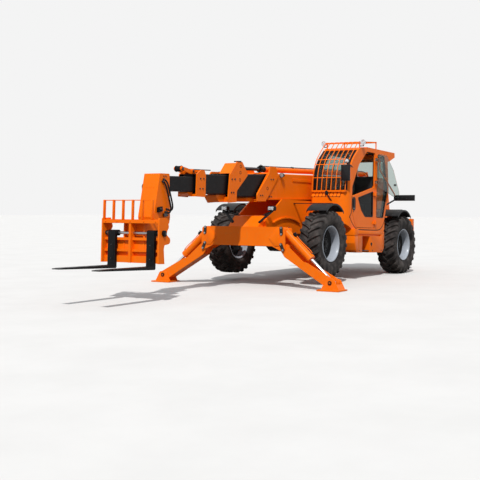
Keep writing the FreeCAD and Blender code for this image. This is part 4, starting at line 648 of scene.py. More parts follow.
# boom collars: wear-pad bolts, bored holes and the black cap over the long cylinder's anchor
collarBolts = {
    # section: outer face, bolt size, bolts (along, up), holes (along, up, radius), body
    "outer": {"face": 252.0, "size": 20.0, "body": "boom_outer",
              "bolts": ((4646, 107), (4571, 107), (5003, -178), (4936, -177), (4700, -200), (4640, -200)),
              "holes": ((4767, -54, 26),)},
    "second": {"face": 217.0, "size": 22.0, "body": "boom_second",
               "bolts": ((5844, 91), (5756, 93), (5867, -130), (5801, -130)),
               "holes": ((5588, 208, 24), (5602, 84, 24))},
    "third": {"face": 183.0, "size": 20.0, "body": "boom_third",
              "bolts": ((6700, 87), (6613, 89), (6718, -72), (6639, -71)),
              "holes": ()},
}
for section, collar in collarBolts.items():
    collarShape = bmesh.new()
    for side in (1, -1):
        way = (0, side, 0)
        for along, up in collar["bolts"]:
            addBolt(collarShape, (along, side * collar["face"], up), way, collar["size"], 0)
        for along, up, radius in collar["holes"]:
            profile = ((-0.5, 0.01), (-0.5, radius - 6), (1, radius - 5), (4, radius), (0, radius + 4))
            join(collarShape, turnedShape(profile, (along, side * collar["face"], up), way, 28), 1)
    if section == "second":
        profile = ((-0.5, 0.01), (-0.5, 18), (1, 19), (4, 24), (0, 28))
        join(collarShape, turnedShape(profile, (5578, collar["face"], 313), (0, 1, 0), 28), 1)
        join(collarShape, plate(((5556, 388, 10), (5660, 386, 10), (5652, 404, 6), (5566, 406, 6)), "xz", 130, 222, 3), 2)
    placePiece("collar_bolts_" + section, collarShape, [darkSteelAndPaintedReflection, satinBlack, mouldedPlastic], collar["body"],
               boomSpace)

# stiffening rails under the first section, clear of the lift cylinder and inside the frame's plates
boomRails = {"rear": 300.0, "front": 4300.0, "low": -338.0, "high": -248.0, "inner": 146.0, "outer": 156.0}
railShape = bmesh.new()
for side in (1, -1):
    low, high = sorted((side * boomRails["inner"], side * boomRails["outer"]))
    corners = ((boomRails["rear"], boomRails["high"], 0), (boomRails["rear"] + 160, boomRails["low"], 60),
               (boomRails["front"] - 220, boomRails["low"], 80), (boomRails["front"], boomRails["high"], 0))
    join(railShape, plate(corners, "xz", low, high, 2), 0)
placePiece("boom_rails", railShape, [orangeEnamel], "boom_outer", boomSpace)

# rod over the third section, from its sheave bracket back over the second's collar, on the right of the middle
guideRod = {"y": -108.0, "up": 243.0, "front": 6740.0, "rear": 6010.0, "radius": 9.0}
rodShape = bmesh.new()
join(rodShape, rodBetween((guideRod["rear"], guideRod["y"], guideRod["up"]),
                          (guideRod["front"], guideRod["y"], guideRod["up"]), guideRod["radius"], sides=16, chamfer=2), 0)
join(rodShape, plate(((6650, 215, 6), (6700, 215, 6), (6700, 258, 10), (6650, 258, 10)), "xz", -122, -94, 2), 1)
for spot in (6640, 6712):
    join(rodShape, rodBetween((spot, guideRod["y"], guideRod["up"]), (spot + 14, guideRod["y"], guideRod["up"]), 17,
                              sides=6, chamfer=1), 0)
placePiece("guide_rod", rodShape, [darkSteelAndPaintedReflection, orangeEnamel], "boom_third", boomSpace)

# chain in the sheave bracket's fork, seen as a dark roller between its arms
rollerShape = bmesh.new()
rollerProfile = ((-52, 0.01), (-52, 50), (-44, 50), (-40, 44), (40, 44), (44, 50), (52, 50), (52, 0.01))
join(rollerShape, turnedShape(rollerProfile, (7030, 0, 240), (0, 1, 0), 32), 0)
for side in (1, -1):
    join(rollerShape, rodBetween((7030, side * 76, 240), (7030, side * 86, 240), 24, sides=24, chamfer=2), 1)
    join(rollerShape, rodBetween((6760, side * 84, 205), (6760, side * 94, 205), 22, sides=24, chamfer=2), 1)
placePiece("sheave_roller", rollerShape, [satinBlack, darkSteelAndPaintedReflection], "boom_third", boomSpace)

# long cylinder: ports with their nipples, and the hose that lies along its top
hoseRuns("barrel_hose", [[(4600, 14, 349), (4200, 14, 350), (3300, 10, 349.5), (2300, 12, 350), (1300, 14, 350),
                          (700, 14, 351), (520, 20, 352), (420, 60, 345), (380, 110, 300), (360, 130, 235)]],
         8, "boom_outer", boomSpace)
portShape = bmesh.new()
join(portShape, boxBetween((4574, -16, 336), (4626, 40, 362), 4), 0)
join(portShape, rodBetween((4600, 14, 362), (4600, 14, 376), 13, sides=6, chamfer=1), 1)
for along in (1150, 2300, 3450):
    join(portShape, boxBetween((along - 14, -26, 336), (along + 14, 30, 362), 3), 0)
    addBolt(portShape, (along, -12, 361), (0, 0, 1), 12, 1)
placePiece("barrel_ports", portShape, [satinBlack, darkSteelAndPaintedReflection], "boom_outer", boomSpace)

# boom lamp: silvered bowl behind a clear lens, on a black stub
def addRoundLamp(target, centre, direction, radius):
    bowl = ((-1, radius - 8), (-1, radius + 1), (5, radius + 2), (7, radius - 3), (5, radius - 7))
    join(target, turnedShape(bowl, centre, direction, 32, closed=True), 0)
    mirrorDisc = ((1, 0.01), (2, radius * 0.5), (4, radius - 7))
    join(target, turnedShape(mirrorDisc, centre, direction, 32), 1)
    lens = ((5, radius - 6), (8, radius * 0.6), (9, 0.01))
    join(target, turnedShape(lens, centre, direction, 32), 2)


boomLampShape = bmesh.new()
addRoundLamp(boomLampShape, (4311, 278, 187), (1, 0, 0), 42)
placePiece("boom_lamp_lens", boomLampShape, [mouldedPlastic, darkSteelAndPaintedReflection, lampLens], "boom_outer", boomSpace)
print("stage: boom details made")

# head: hoses that loop down its left cheek, their nipples, a valve block, and the coupler on its right cheek
head = {"cheek": 150.0}
headRuns = [
    [(7625, 158, 62), (7612, 176, 58), (7575, 196, 20), (7545, 204, -100), (7495, 208, -250), (7462, 206, -345),
     (7470, 198, -408), (7520, 186, -412), (7556, 172, -388)],
    [(7652, 158, 30), (7640, 178, 22), (7606, 192, -30), (7572, 196, -150), (7528, 200, -280), (7496, 200, -380),
     (7512, 190, -446), (7556, 180, -452), (7590, 170, -432)],
]
hoseRuns("head_hoses", headRuns, 13, "boom_head", boomSpace)
headShape = bmesh.new()
for along, up in ((7625, 62), (7652, 30), (7556, -388), (7590, -432)):
    join(headShape, rodBetween((along, head["cheek"] - 2, up), (along, head["cheek"] + 16, up), 18, sides=6, chamfer=1.5), 0)
    join(headShape, rodBetween((along, head["cheek"] + 8, up), (along, head["cheek"] + 30, up), 15, sides=16, chamfer=1), 0)
join(headShape, plate(((7700, -420, 8), (7790, -436, 8), (7784, -360, 8), (7694, -344, 8)), "xz", 148, 196, 4), 1)
for along, up in ((7722, -400), (7764, -380)):
    join(headShape, rodBetween((along, 194, up), (along, 216, up), 15, sides=6, chamfer=1.5), 0)
join(headShape, plate(((7560, -500, 10), (7640, -500, 10), (7640, -450, 10), (7560, -450, 10)), "xz", 148, 180, 4), 0)
for along, up in ((7610, 110), (7560, 110), (7520, -480), (7760, -600)):
    for side in (1, -1):
        addBolt(headShape, (along, side * head["cheek"], up), (0, side, 0), 16, 0)
for y in (-62, 0, 62):
    addBolt(headShape, (7754, y, -60), Vector((1, 0, 0.24)), 11, 2)
coupler = ((0, 0.01), (0, 62), (34, 62), (46, 52), (46, 30), (58, 26), (58, 0.01))
join(headShape, turnedShape(coupler, (7661, -149, -48), (0, -1, 0), 32), 1)
for side in (1, -1):
    ring = ((-1, 22), (-1, 58), (7, 58), (9, 52), (9, 30), (5, 22))
    join(headShape, turnedShape(ring, (7720, side * 212, -660), (0, side, 0), 32, closed=True), 2)
placePiece("head_fittings", headShape, [darkSteelAndPaintedReflection, satinBlack, orangeEnamel], "boom_head", boomSpace)
hoseRuns("head_hose_right", [[(7661, -205, -48), (7661, -232, -60), (7600, -236, -180), (7520, -230, -300),
                              (7500, -210, -390), (7540, -180, -420), (7570, -152, -420)]], 13, "boom_head", boomSpace)
print("stage: head details made")

# carriage: pin caps on its pivot ears, shaft retaining collars, stop bolts along the top beam
backrest = {"first": -516.0, "pitch": 182.0, "bars": 6, "half": 10.5, "rear": 7396.0, "front": 7441.0, "low": 904.0,
            "top": 1192.0}
barShape = bmesh.new()
for index in range(backrest["bars"]):
    y = backrest["first"] + index * backrest["pitch"]
    join(barShape, boxBetween((backrest["rear"], y - backrest["half"], backrest["low"]),
                              (backrest["front"], y + backrest["half"], backrest["top"]), 2.5), 0)
join(barShape, boxBetween((7328, -518, 366), (7336, 518, 436), 1), 0)
placePiece("backrest_bars", barShape, [orangeEnamel], "carriage", machineSpace)
catchShape = bmesh.new()
for side in (1, -1):
    low, high = sorted((side * 546.5, side * 583))
    corners = ((7307, 634, 32), (7389, 686, 32), (7386, 756, 32), (7314, 744, 32))
    join(catchShape, plate(corners, "xz", low, high, 4), 0)
    addBolt(catchShape, (7350, side * 583, 706), (0, side, 0), 26, 1)
placePiece("shaft_catches", catchShape, [satinBlack, darkSteelAndPaintedReflection], "carriage", machineSpace)
carriageShape = bmesh.new()
pivotOnMachine = machineSpace.inverted() @ (boomSpace @ Vector((7720, 0, -660)))
for side in (1, -1):
    profile = ((-2, 30), (-2, 52), (8, 52), (12, 46), (12, 16), (6, 12), (6, 0.01))
    join(carriageShape, turnedShape(profile, (pivotOnMachine.x, side * 201, pivotOnMachine.z), (0, side, 0), 28), 0)
    for y in (330, 505):
        join(carriageShape, turnedShape(((0, 22.6), (0, 36), (16, 36), (16, 22.6)), (7352, side * y, 706), (0, side, 0),
                                        28, closed=True), 0)
for y in (-470, -250, 0, 250, 470):
    addBolt(carriageShape, (7436, y, 874), (1, 0, 0), 16, 1)
placePiece("carriage_fittings", carriageShape, [darkSteelAndPaintedReflection, orangeEnamel], "carriage", machineSpace)

# fork heels: wear plates bolted to the shanks
forkShape = bmesh.new()
for y in (-350, 380):
    join(forkShape, plate(((y - 46, 300, 10), (y + 46, 300, 10), (y + 46, 560, 10), (y - 46, 560, 10)), "yz", 7433, 7437, 1), 0)
    for z in (330, 530):
        addBolt(forkShape, (7436, y, z), (1, 0, 0), 14, 1)
placePiece("fork_plates", forkShape, [satinBlack, darkSteelAndPaintedReflection], "carriage", machineSpace)
print("stage: carriage details made")

# nose lamps: four silver reflectors behind one clear cover in each black box
noseLamps = {"front": 4240.0, "z": 1184.0, "places": (-500.0, 470.0), "spread": (31.0, 17.0), "reflector": 15.0}
noseShape = bmesh.new()
for y in noseLamps["places"]:
    z = noseLamps["z"]
    frameCorners = ((y - 62, z - 34, 12), (y + 62, z - 34, 12), (y + 62, z + 34, 12), (y - 62, z + 34, 12))
    join(noseShape, plate(frameCorners, "yz", noseLamps["front"] - 1, noseLamps["front"] + 3, 1.5), 0)
    for dy in (-noseLamps["spread"][0], noseLamps["spread"][0]):
        for dz in (-noseLamps["spread"][1], noseLamps["spread"][1]):
            bowl = ((0, 0.01), (1, 6), (7, noseLamps["reflector"]), (2, noseLamps["reflector"] + 1))
            join(noseShape, turnedShape(bowl, (noseLamps["front"] + 2, y + dy, z + dz), (1, 0, 0), 20), 1)
    coverCorners = ((y - 54, z - 29, 10), (y + 54, z - 29, 10), (y + 54, z + 29, 10), (y - 54, z + 29, 10))
    join(noseShape, plate(coverCorners, "yz", noseLamps["front"] + 9, noseLamps["front"] + 11, 0.6), 2)
    for fin in range(6):
        x = noseLamps["front"] - 60 + fin * 9
        join(noseShape, boxBetween((x, y - 50, z - 43), (x + 3, y + 50, z + 43), 0.8), 0)
# flat stays from the lamps down to the nose, each bolted to its slope
noseStays = {"width": 50.0, "thickness": 12.0, "tops": ((4204.0, 470.0, 1132.0), (4204.0, -500.0, 1132.0)),
             "feet": ((4316.0, 286.0, 938.0), (4316.0, -262.0, 938.0))}
for top, foot in zip(noseStays["tops"], noseStays["feet"]):
    top, foot = Vector(top), Vector(foot)
    run = (foot - top).normalized()
    flat = Vector((1, 0, 0.8)).cross(run).normalized()
    lie = Matrix.Translation(top) @ Matrix((flat, run, flat.cross(run))).transposed().to_4x4()
    half = (noseStays["width"] / 2, noseStays["thickness"] / 2)
    join(noseShape, boxBetween((-half[0], -20, -half[1]), (half[0], (foot - top).length + 16, half[1]), 2), 0, lie)
    addBolt(noseShape, foot + Vector((6, 0, 6)), (1, 0, 1), 18, 0)
placePiece("nose_lamp_fronts", noseShape, [mouldedPlastic, mirrorSilver, lampLens], "root", machineSpace)
hoseRuns("nose_lamp_leads", [[(4176, y, 1166), (4150, y * 0.9, 1120), (4120, side * 330, 1090), (4096, side * 290, 1078),
                              (4060, side * 262, 1062)] for y, side in ((-500, -1), (470, 1))], 5, "root", machineSpace)

# guard lamps and the cab's own lamps
workShape = bmesh.new()
for centre in ((2035, 310, 2515), (2035, 1144, 2517)):
    addRoundLamp(workShape, centre, (1, 0, -0.05), 52)
placePiece("work_lamp_lenses", workShape, [mirrorSilver, mirrorSilver, lampLens], "root", machineSpace)

# mirrors: silvered glass on their driver's side, ribbed black shells, round one with a bright front
mirrorShape = bmesh.new()
join(mirrorShape, plate(((995, 1760, 18), (1160, 1760, 18), (1160, 2036, 18), (995, 2036, 18)), "yz", 2586, 2590.5, 1), 1)
join(mirrorShape, plate(((1003, 1772, 20), (1152, 1772, 20), (1152, 2024, 20), (1003, 2024, 20)), "yz", 2639, 2646, 3), 0)
addRoundLamp(mirrorShape, (2632, 1110, 2118), (1, 0, 0), 42)
placePiece("mirror_glasses", mirrorShape, [mouldedPlastic, mirrorSilver, mirrorSilver], "root",
           machineSpace)
print("stage: lamps and mirrors made")

# cab trim: rubber seals round the windows, door handle, louvred cowl under the windscreen, wiper, bottom seal
cab = {
    "outerFace": 1090.0,
    "innerFace": 345.0,
    "sealWidth": 16.0,
    "doorSealWidth": 22.0,
    "doorWindow": ((1425, 1113, 40), (1790, 1109, 90), (1960, 1235, 90), (2112, 1467, 30), (1425, 1622, 30)),
    "quarterWindow": ((948, 1112, 40), (1275, 1112, 40), (1250, 2350, 40), (944, 2350, 40), (765, 1634, 80)),
    "rightWindow": ((1000, 1420, 50), (2250, 1420, 50), (2250, 1960, 120), (1900, 2320, 120), (1000, 2320, 50)),
}


def sealRing(corners, plane, low, high, width):
    # flat rubber frame that runs round the inside of an opening
    ring = outlineShape(corners, plane, low, 6)
    inner = bmesh.ops.inset_region(ring, faces=ring.faces[:], use_boundary=True, thickness=width,
                                   use_even_offset=True)
    band = set(inner["faces"])
    bmesh.ops.delete(ring, geom=[face for face in ring.faces if face not in band], context="FACES_ONLY")
    pushed = bmesh.ops.extrude_face_region(ring, geom=ring.faces[:], use_keep_orig=True)
    moved = [item for item in pushed["geom"] if isinstance(item, bmesh.types.BMVert)]
    bmesh.ops.translate(ring, vec=onPlane(plane, 0, 0, high - low), verts=moved)
    bmesh.ops.recalc_face_normals(ring, faces=ring.faces)
    softenEdges(ring, 1.5)
    return ring


sealShape = bmesh.new()
join(sealShape, sealRing(cab["quarterWindow"], "xz", 1046, 1092, cab["sealWidth"]), 0)
join(sealShape, sealRing(cab["rightWindow"], "xz", 343, 360, cab["sealWidth"]), 0)
placePiece("window_seals", sealShape, [hoseRubber], "root", machineSpace)
doorSealShape = bmesh.new()
join(doorSealShape, sealRing(cab["doorWindow"], "xz", 1052, 1092, cab["doorSealWidth"]), 0)
# latch: oval black bezel with a raised rim, a lever across it and the lock barrel under it
latchOval = ((2206, 1216, 64), (2338, 1216, 64), (2338, 1472, 64), (2206, 1472, 64))
join(doorSealShape, plate(latchOval, "xz", 1087, 1092, 1, 8), 1)
join(doorSealShape, sealRing(latchOval, "xz", 1090, 1096, 10), 1)
join(doorSealShape, plate(((2246, 1290, 12), (2296, 1290, 12), (2290, 1440, 14), (2254, 1440, 14)), "xz", 1092, 1102, 3), 1)
join(doorSealShape, rodBetween((2272, 1090, 1256), (2272, 1098, 1256), 12, sides=20, chamfer=1), 2)
join(doorSealShape, rodBetween((2290, 1088, 1196), (2290, 1094, 1196), 14, sides=20, chamfer=1), 1)
# card on the door's inside, below its window
join(doorSealShape, plate(((1392, 920, 20), (2165, 920, 110), (2316, 1180, 150), (2316, 1440, 20), (2150, 1452, 20),
                           (1975, 1212, 60), (1800, 1086, 60), (1392, 1090, 20)), "xz", 1044, 1050.5, 1.5), 1)
placePiece("door_trim", doorSealShape, [hoseRubber, mouldedPlastic, pinSteel], "door", machineSpace)

# cowl: eight raised orange pads between dark slots on the slope under the windscreen
cowl = {"count": 8, "start": 364.0, "end": 953.0, "gap": 12.0, "depth": 12.0, "lowEdge": (2599.0, 1454.0),
        "highEdge": (2531.0, 1552.0)}
cowlShape = bmesh.new()
slope = Vector((cowl["highEdge"][0] - cowl["lowEdge"][0], 0, cowl["highEdge"][1] - cowl["lowEdge"][1]))
slopeLength = slope.length
upSlope = slope.normalized()
offSlope = Vector((upSlope.z, 0, -upSlope.x))
lie = Matrix((Vector((0, 1, 0)), upSlope, offSlope)).transposed().to_4x4()
lie = Matrix.Translation((cowl["lowEdge"][0], 0, cowl["lowEdge"][1])) @ lie
join(cowlShape, plate(((cowl["start"] - 8, 2, 6), (cowl["end"] + 8, 2, 6), (cowl["end"] + 8, slopeLength - 2, 6),
                       (cowl["start"] - 8, slopeLength - 2, 6)), "xy", -1, 2, 0.5), 1, lie.copy())
pitchAcross = (cowl["end"] - cowl["start"] + cowl["gap"]) / cowl["count"]
for index in range(cowl["count"]):
    near = cowl["start"] + index * pitchAcross
    far = near + pitchAcross - cowl["gap"]
    corners = ((near, 6, 8), (far, 6, 8), (far, slopeLength - 8, 8), (near, slopeLength - 8, 8))
    join(cowlShape, plate(corners, "xy", 0, cowl["depth"], 4), 0, lie.copy())
placePiece("windscreen_cowl", cowlShape, [orangeEnamel, satinBlack], "root", machineSpace)

# wiper: motor cover below the guard's middle, arm and blade resting on the glass, washer hose
wiperShape = bmesh.new()
join(wiperShape, plate(((650, 1500, 10), (712, 1500, 10), (706, 1572, 14), (656, 1572, 14)), "yz", 2570, 2612, 5), 0)
join(wiperShape, rodBetween((2560, 680, 1560), (2600, 680, 1566), 16, sides=20, chamfer=2), 0)
join(wiperShape, rodBetween((2562, 680, 1574), (2508, 742, 1900), 7, sides=12, chamfer=1), 0)
join(wiperShape, rodBetween((2526, 700, 1700), (2486, 786, 2080), 6, sides=12, chamfer=1), 0)
placePiece("wiper", wiperShape, [mouldedPlastic], "root", machineSpace)
hoseRuns("washer_hose", [[(2604, 690, 1530), (2622, 716, 1500), (2626, 748, 1450), (2618, 776, 1412), (2602, 790, 1390)]],
         9, "root", machineSpace)

# rubber seal that closes the joint between the cab's floor and the tank below it, and runs up behind the door; drawn
# thick and black, it also stands for the shadow in the gap under the cab, painted shade
floorSealAndGapShade = [(2440, 1084, 1100), (2400, 1084, 1040), (2337, 1084, 985), (2250, 1084, 922), (2180, 1084, 884),
            (2080, 1084, 868), (1900, 1084, 865), (1500, 1084, 865), (1250, 1084, 866), (1120, 1084, 874),
            (1030, 1084, 910), (950, 1084, 970), (894, 1084, 1040), (870, 1084, 1096), (852, 1084, 1150)]
hoseRuns("cab_floor_seal_and_gap_shade", [floorSealAndGapShade], 10, "root", machineSpace)
# thin rubber in the door's front seam and round the opening over it
seamLine = [(2440, 1085, 1100), (2400, 1086, 1130), (2366, 1087, 1180), (2352, 1087, 1300), (2352, 1087, 1480)]
openLine = [(1376, 1056, 1730), (1376, 1056, 2330), (1376, 1056, 2356), (1400, 1056, 2362), (1700, 1056, 2362),
            (1745, 1056, 2350), (2060, 1056, 2092), (2090, 1056, 2062), (2330, 1056, 1690), (2343, 1056, 1650),
            (2343, 1056, 1500)]
hoseRuns("door_seals", [seamLine, openLine], 9, "root", machineSpace)

# cab lining: moulded black panels on the right wall round its window, under the windscreen, on the floor,
# behind the seat and round the skylight
lining = {
    "walls": (
        ((928, 898, 30), (2306, 898, 100), (2548, 1032, 60), (2548, 1418, 0), (822, 1418, 0), (928, 1100, 30)),
        ((822, 1418, 0), (1000, 1418, 0), (1000, 2388, 0), (843, 2388, 20), (753, 1640, 50)),
        ((1000, 2322, 0), (1900, 2322, 120), (2252, 1962, 120), (2252, 1418, 0), (2546, 1418, 0), (2472, 1552, 0),
         (2428, 2040, 600), (2036, 2368, 200), (1690, 2388, 0), (1000, 2388, 0))),
    "boxes": (
        ((2538, 393, 1036), (2545, 880, 1420)), ((930, 393, 897), (2300, 1040, 903)),
        ((932, 393, 903), (938, 1040, 1092)), ((845, 393, 2384), (1150, 1040, 2390)),
        ((1150, 393, 2384), (1690, 428, 2390)), ((1150, 1007, 2384), (1690, 1040, 2390))),
    # corner posts beside the rear window, along the slope of the rear wall
    "post": ((928, 1100, 0), (751, 1640, 0), (841, 2388, 0), (846, 2388, 0), (756, 1640, 0), (933, 1100, 0)),
    "posts": ((391, 429), (1001, 1044)),
}
liningShape = bmesh.new()
for corners in lining["walls"]:
    join(liningShape, plate(corners, "xz", 391, 396, 1), 0)
for low, high in lining["boxes"]:
    join(liningShape, boxBetween(low, high, 1), 0)
for low, high in lining["posts"]:
    join(liningShape, plate(lining["post"], "xz", low, high, 0), 0)
placePiece("cab_lining", liningShape, [mouldedPlastic], "root", machineSpace)
print("stage: cab trim made")

# rear bar lamps: red lens along the back, black edge strips and ribs, mounting clamp
rearShape = bmesh.new()
for side in (1, -1):
    low, high = sorted((side * 1070, side * 1470))
    join(rearShape, plate(((low, 1496, 10), (high, 1496, 10), (high, 1586, 10), (low, 1586, 10)), "yz", 285, 291, 2), 1)
    join(rearShape, plate(((low, 1492, 8), (high, 1492, 8), (high, 1590, 8), (low, 1590, 8)), "yz", 339, 343, 2), 0)
    for z in (1484, 1594):
        join(rearShape, boxBetween((300, low, z), (330, high, z + 4), 1), 0)
    for rib in range(5):
        y = low + 40 + rib * 80
        join(rearShape, boxBetween((341, y, 1500), (345, y + 6, 1582), 1), 0)
placePiece("rear_lamp_lenses", rearShape, [mouldedPlastic, redLens], "root", machineSpace)

# counterweight: lamp clusters in its two pockets, bolts that hold it, drawbar pin
rearEnd = {"rear": -1290.0, "pocket": (575.0, 845.0), "low": 832.0, "high": 988.0}
tailShape = bmesh.new()
for side in (1, -1):
    near, far = rearEnd["pocket"]
    for start, stop, lensIndex in ((near, near + 86, 2), (near + 92, near + 178, 1), (near + 184, far, 3)):
        low, high = sorted((side * start, side * stop))
        corners = ((low, rearEnd["low"], 10), (high, rearEnd["low"], 10), (high, rearEnd["high"], 10), (low, rearEnd["high"], 10))
        join(tailShape, plate(corners, "yz", -1256, -1190, 5), lensIndex)
    low, high = sorted((side * (near - 10), side * (far + 10)))
    join(tailShape, plate(((low, 824, 12), (high, 824, 12), (high, 996, 12), (low, 996, 12)), "yz", -1192, -1176, 2), 0)
for y in (-420, 420):
    for z in (680, 1060):
        addBolt(tailShape, (rearEnd["rear"] + 22, y, z), Vector((-1, 0.045 * y / 420, 0)), 46, 4)
join(tailShape, rodBetween((-1335, 0, 610), (-1335, 0, 775), 14, sides=24, chamfer=2), 4)
join(tailShape, rodBetween((-1335, 0, 752), (-1335, 0, 762), 30, sides=24, chamfer=2), 4)
placePiece("tail_lamps", tailShape, [mouldedPlastic, redLens, amberLens, lampLens, darkSteelAndPaintedReflection], "root",
           machineSpace)
print("stage: rear details made")

# engine cover on the right: fine mesh behind the louvres, latches, hinges and filler cap; exhaust heat shield
engineSide = {"face": -1060.0, "rear": 760.0, "front": 2470.0, "low": 560.0, "high": 1340.0}
coverShape = bmesh.new()
join(coverShape, boxBetween((1000, -1034, 700), (1700, -1030, 1150), 0.5), 0)
for x in (900, 2360):
    join(coverShape, boxBetween((x - 22, -1070, 1096), (x + 22, -1058, 1150), 3), 0)
    join(coverShape, rodBetween((x, -1074, 1122), (x, -1066, 1122), 12, sides=20, chamfer=1), 1)
for x in (1300, 1950):
    join(coverShape, boxBetween((x - 60, -1012, 1318), (x + 60, -990, 1346), 3), 0)
join(coverShape, turnedShape(((-4, 0.01), (-4, 44), (16, 44), (24, 38), (24, 0.01)), (2180, -700, 1338), (0, 0, 1), 28), 0)
for corner in ((800, 600), (800, 1120), (2430, 600), (2430, 1120)):
    addBolt(coverShape, (corner[0], engineSide["face"], corner[1]), (0, -1, 0), 16, 1)
placePiece("engine_cover_trim", coverShape, [mouldedPlastic, pinSteel], "root", machineSpace)
shieldShape = bmesh.new()
shield = ((0, 49), (0, 66), (6, 66), (6, 53), (34, 53), (34, 60), (40, 60), (40, 53), (240, 53), (240, 60), (246, 60),
          (246, 49))
join(shieldShape, turnedShape(shield, (900, -480, 1342), (0, 0, 1), 36, closed=True), 0)
placePiece("exhaust_shield", shieldShape, [darkSteelAndPaintedReflection], "root", machineSpace)

# tank side: step tread in both footholds, filler cap and drain
tank = {
    "inner": 330.6,
    "pocket": 930.0,
    "outer": 1091.0,
    "core": ((880, 520, 60), (970, 432, 40), (2140, 432, 20), (2196, 606, 10), (2196, 846, 20), (880, 846, 30)),
    "skin": ((880, 520, 60), (970, 430, 40), (1548, 430, 0), (1548, 744, 10), (1878, 744, 10), (1878, 430, 0),
             (2146, 430, 20), (2203, 606, 10), (2203, 752, 4), (1040, 752, 4), (1040, 782, 4), (2214, 782, 4),
             (2214, 848, 20), (880, 848, 30)),
}
bodyShape = bmesh.new()
join(bodyShape, plate(tank["core"], "xz", tank["inner"], tank["pocket"], 3), 0)
join(bodyShape, plate(tank["skin"], "xz", tank["pocket"] - 1, tank["outer"], 3), 0)
join(bodyShape, boxBetween((900, tank["pocket"] - 2, 748), (2196, tank["outer"] - 30, 786), 1), 0)
bodyPiece = placePiece("tank_body", bodyShape, [orangeEnamel], "root", machineSpace)
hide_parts("side_tank")
# boarding step that stands out in front of the tank: a wide upper box on a lower one with a raked foot
stepShape = bmesh.new()
join(stepShape, plate(((2216, 752, 4), (2368, 752, 6), (2368, 876, 14), (2216, 876, 4)), "xz", 930, 1168, 5), 0)
join(stepShape, plate(((2216, 470, 4), (2296, 470, 10), (2358, 606, 10), (2358, 754, 4), (2216, 754, 4)), "xz", 930, 1160,
                      5), 0)
placePiece("front_step", stepShape, [orangeEnamel], "root", machineSpace)
tankShape = bmesh.new()
for rib in range(6):
    y = tank["pocket"] + 12 + rib * 24
    join(tankShape, boxBetween((1556, y, 470), (1870, y + 8, 476), 1), 0)
join(tankShape, boxBetween((1556, tank["pocket"] - 2, 462), (1870, tank["outer"] - 8, 470), 1.5), 0)
join(tankShape, turnedShape(((-4, 0.01), (-4, 26), (10, 26), (15, 20), (15, 0.01)), (1483, tank["outer"], 598), (0, 1, 0),
                            28), 1)
join(tankShape, plate(((1470, 556, 4), (1482, 556, 4), (1482, 574, 4), (1470, 574, 4)), "xz", tank["outer"] - 1,
                      tank["outer"] + 6, 1), 1)
for x in (1010, 1420, 2010):
    addBolt(tankShape, (x, tank["outer"], 470), (0, 1, 0), 15, 0)
placePiece("tank_trim", tankShape, [darkSteelAndPaintedReflection, mouldedPlastic], "root", machineSpace)
print("stage: side box details made")

# seat: two vinyl pads blown up by cloth pressure, with welted edges, on a moulded pan and a suspension box
seat = {
    "cushion": ((1130, 488, 1262), (1636, 952, 1352)),
    "backrest": ((1060, 502, 1340), (1160, 938, 1950)),
    "backTilt": -9.0,
    "bulge": 0.016,
    "voxel": 0.007,
    "pressure": 4.0,
    "frames": 20,
}


def blownPad(name, low, high, tilt):
    shape = boxBetween(low, high, 26)
    if tilt:
        pivot = Vector((low[0], 0, low[2]))
        lean = Matrix.Translation(pivot) @ Matrix.Rotation(math.radians(tilt), 4, "Y") @ Matrix.Translation(-pivot)
        bmesh.ops.transform(shape, matrix=lean, verts=shape.verts)
    piece = placePiece(name, shape, [seatVinyl], "root", machineSpace)
    bpy.context.view_layer.objects.active = piece
    remesh = piece.modifiers.new("remesh", "REMESH")
    remesh.mode = "VOXEL"
    remesh.voxel_size = seat["voxel"]
    graph = bpy.context.evaluated_depsgraph_get()
    start = bpy.data.meshes.new_from_object(piece.evaluated_get(graph))
    piece.modifiers.clear()
    piece.data = start
    before = [vert.co.copy() for vert in start.vertices]
    cloth = piece.modifiers.new("cloth", "CLOTH")
    cloth.settings.use_pressure = True
    cloth.settings.uniform_pressure_force = seat["pressure"]
    cloth.settings.effector_weights.gravity = 0.0
    cloth.point_cache.frame_end = seat["frames"]
    for number in range(1, seat["frames"] + 1):
        bpy.context.scene.frame_set(number)
    graph = bpy.context.evaluated_depsgraph_get()
    swollen = bpy.data.meshes.new_from_object(piece.evaluated_get(graph))
    piece.modifiers.clear()
    piece.data = swollen
    for vert, home in zip(swollen.vertices, before):
        moved = vert.co - home
        if moved.length > seat["bulge"]:
            vert.co = home + moved.normalized() * seat["bulge"]
    bpy.context.scene.frame_set(1)
    piece.data.materials.clear()
    piece.data.materials.append(seatVinyl)
    piece.data.shade_smooth()
    return piece


cushionPad = blownPad("seat_cushion", *seat["cushion"], 0.0)
backPad = blownPad("seat_backrest", *seat["backrest"], seat["backTilt"])
print("stage: seat pads blown")
panShape = bmesh.new()
join(panShape, boxBetween((1140, 500, 1228), (1620, 940, 1262), 10), 0)
join(panShape, boxBetween((1190, 550, 895), (1550, 890, 930), 6), 0)
for rib in range(6):
    z = 936 + rib * 48
    join(panShape, boxBetween((1204, 562, z), (1536, 878, z + 40), 16), 1)
join(panShape, boxBetween((1180, 962, 1190), (1560, 1000, 1400), 12), 0)
panPiece = placePiece("seat_pan", panShape, [mouldedPlastic, hoseRubber], "root", machineSpace)
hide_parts("seat")
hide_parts("seat")

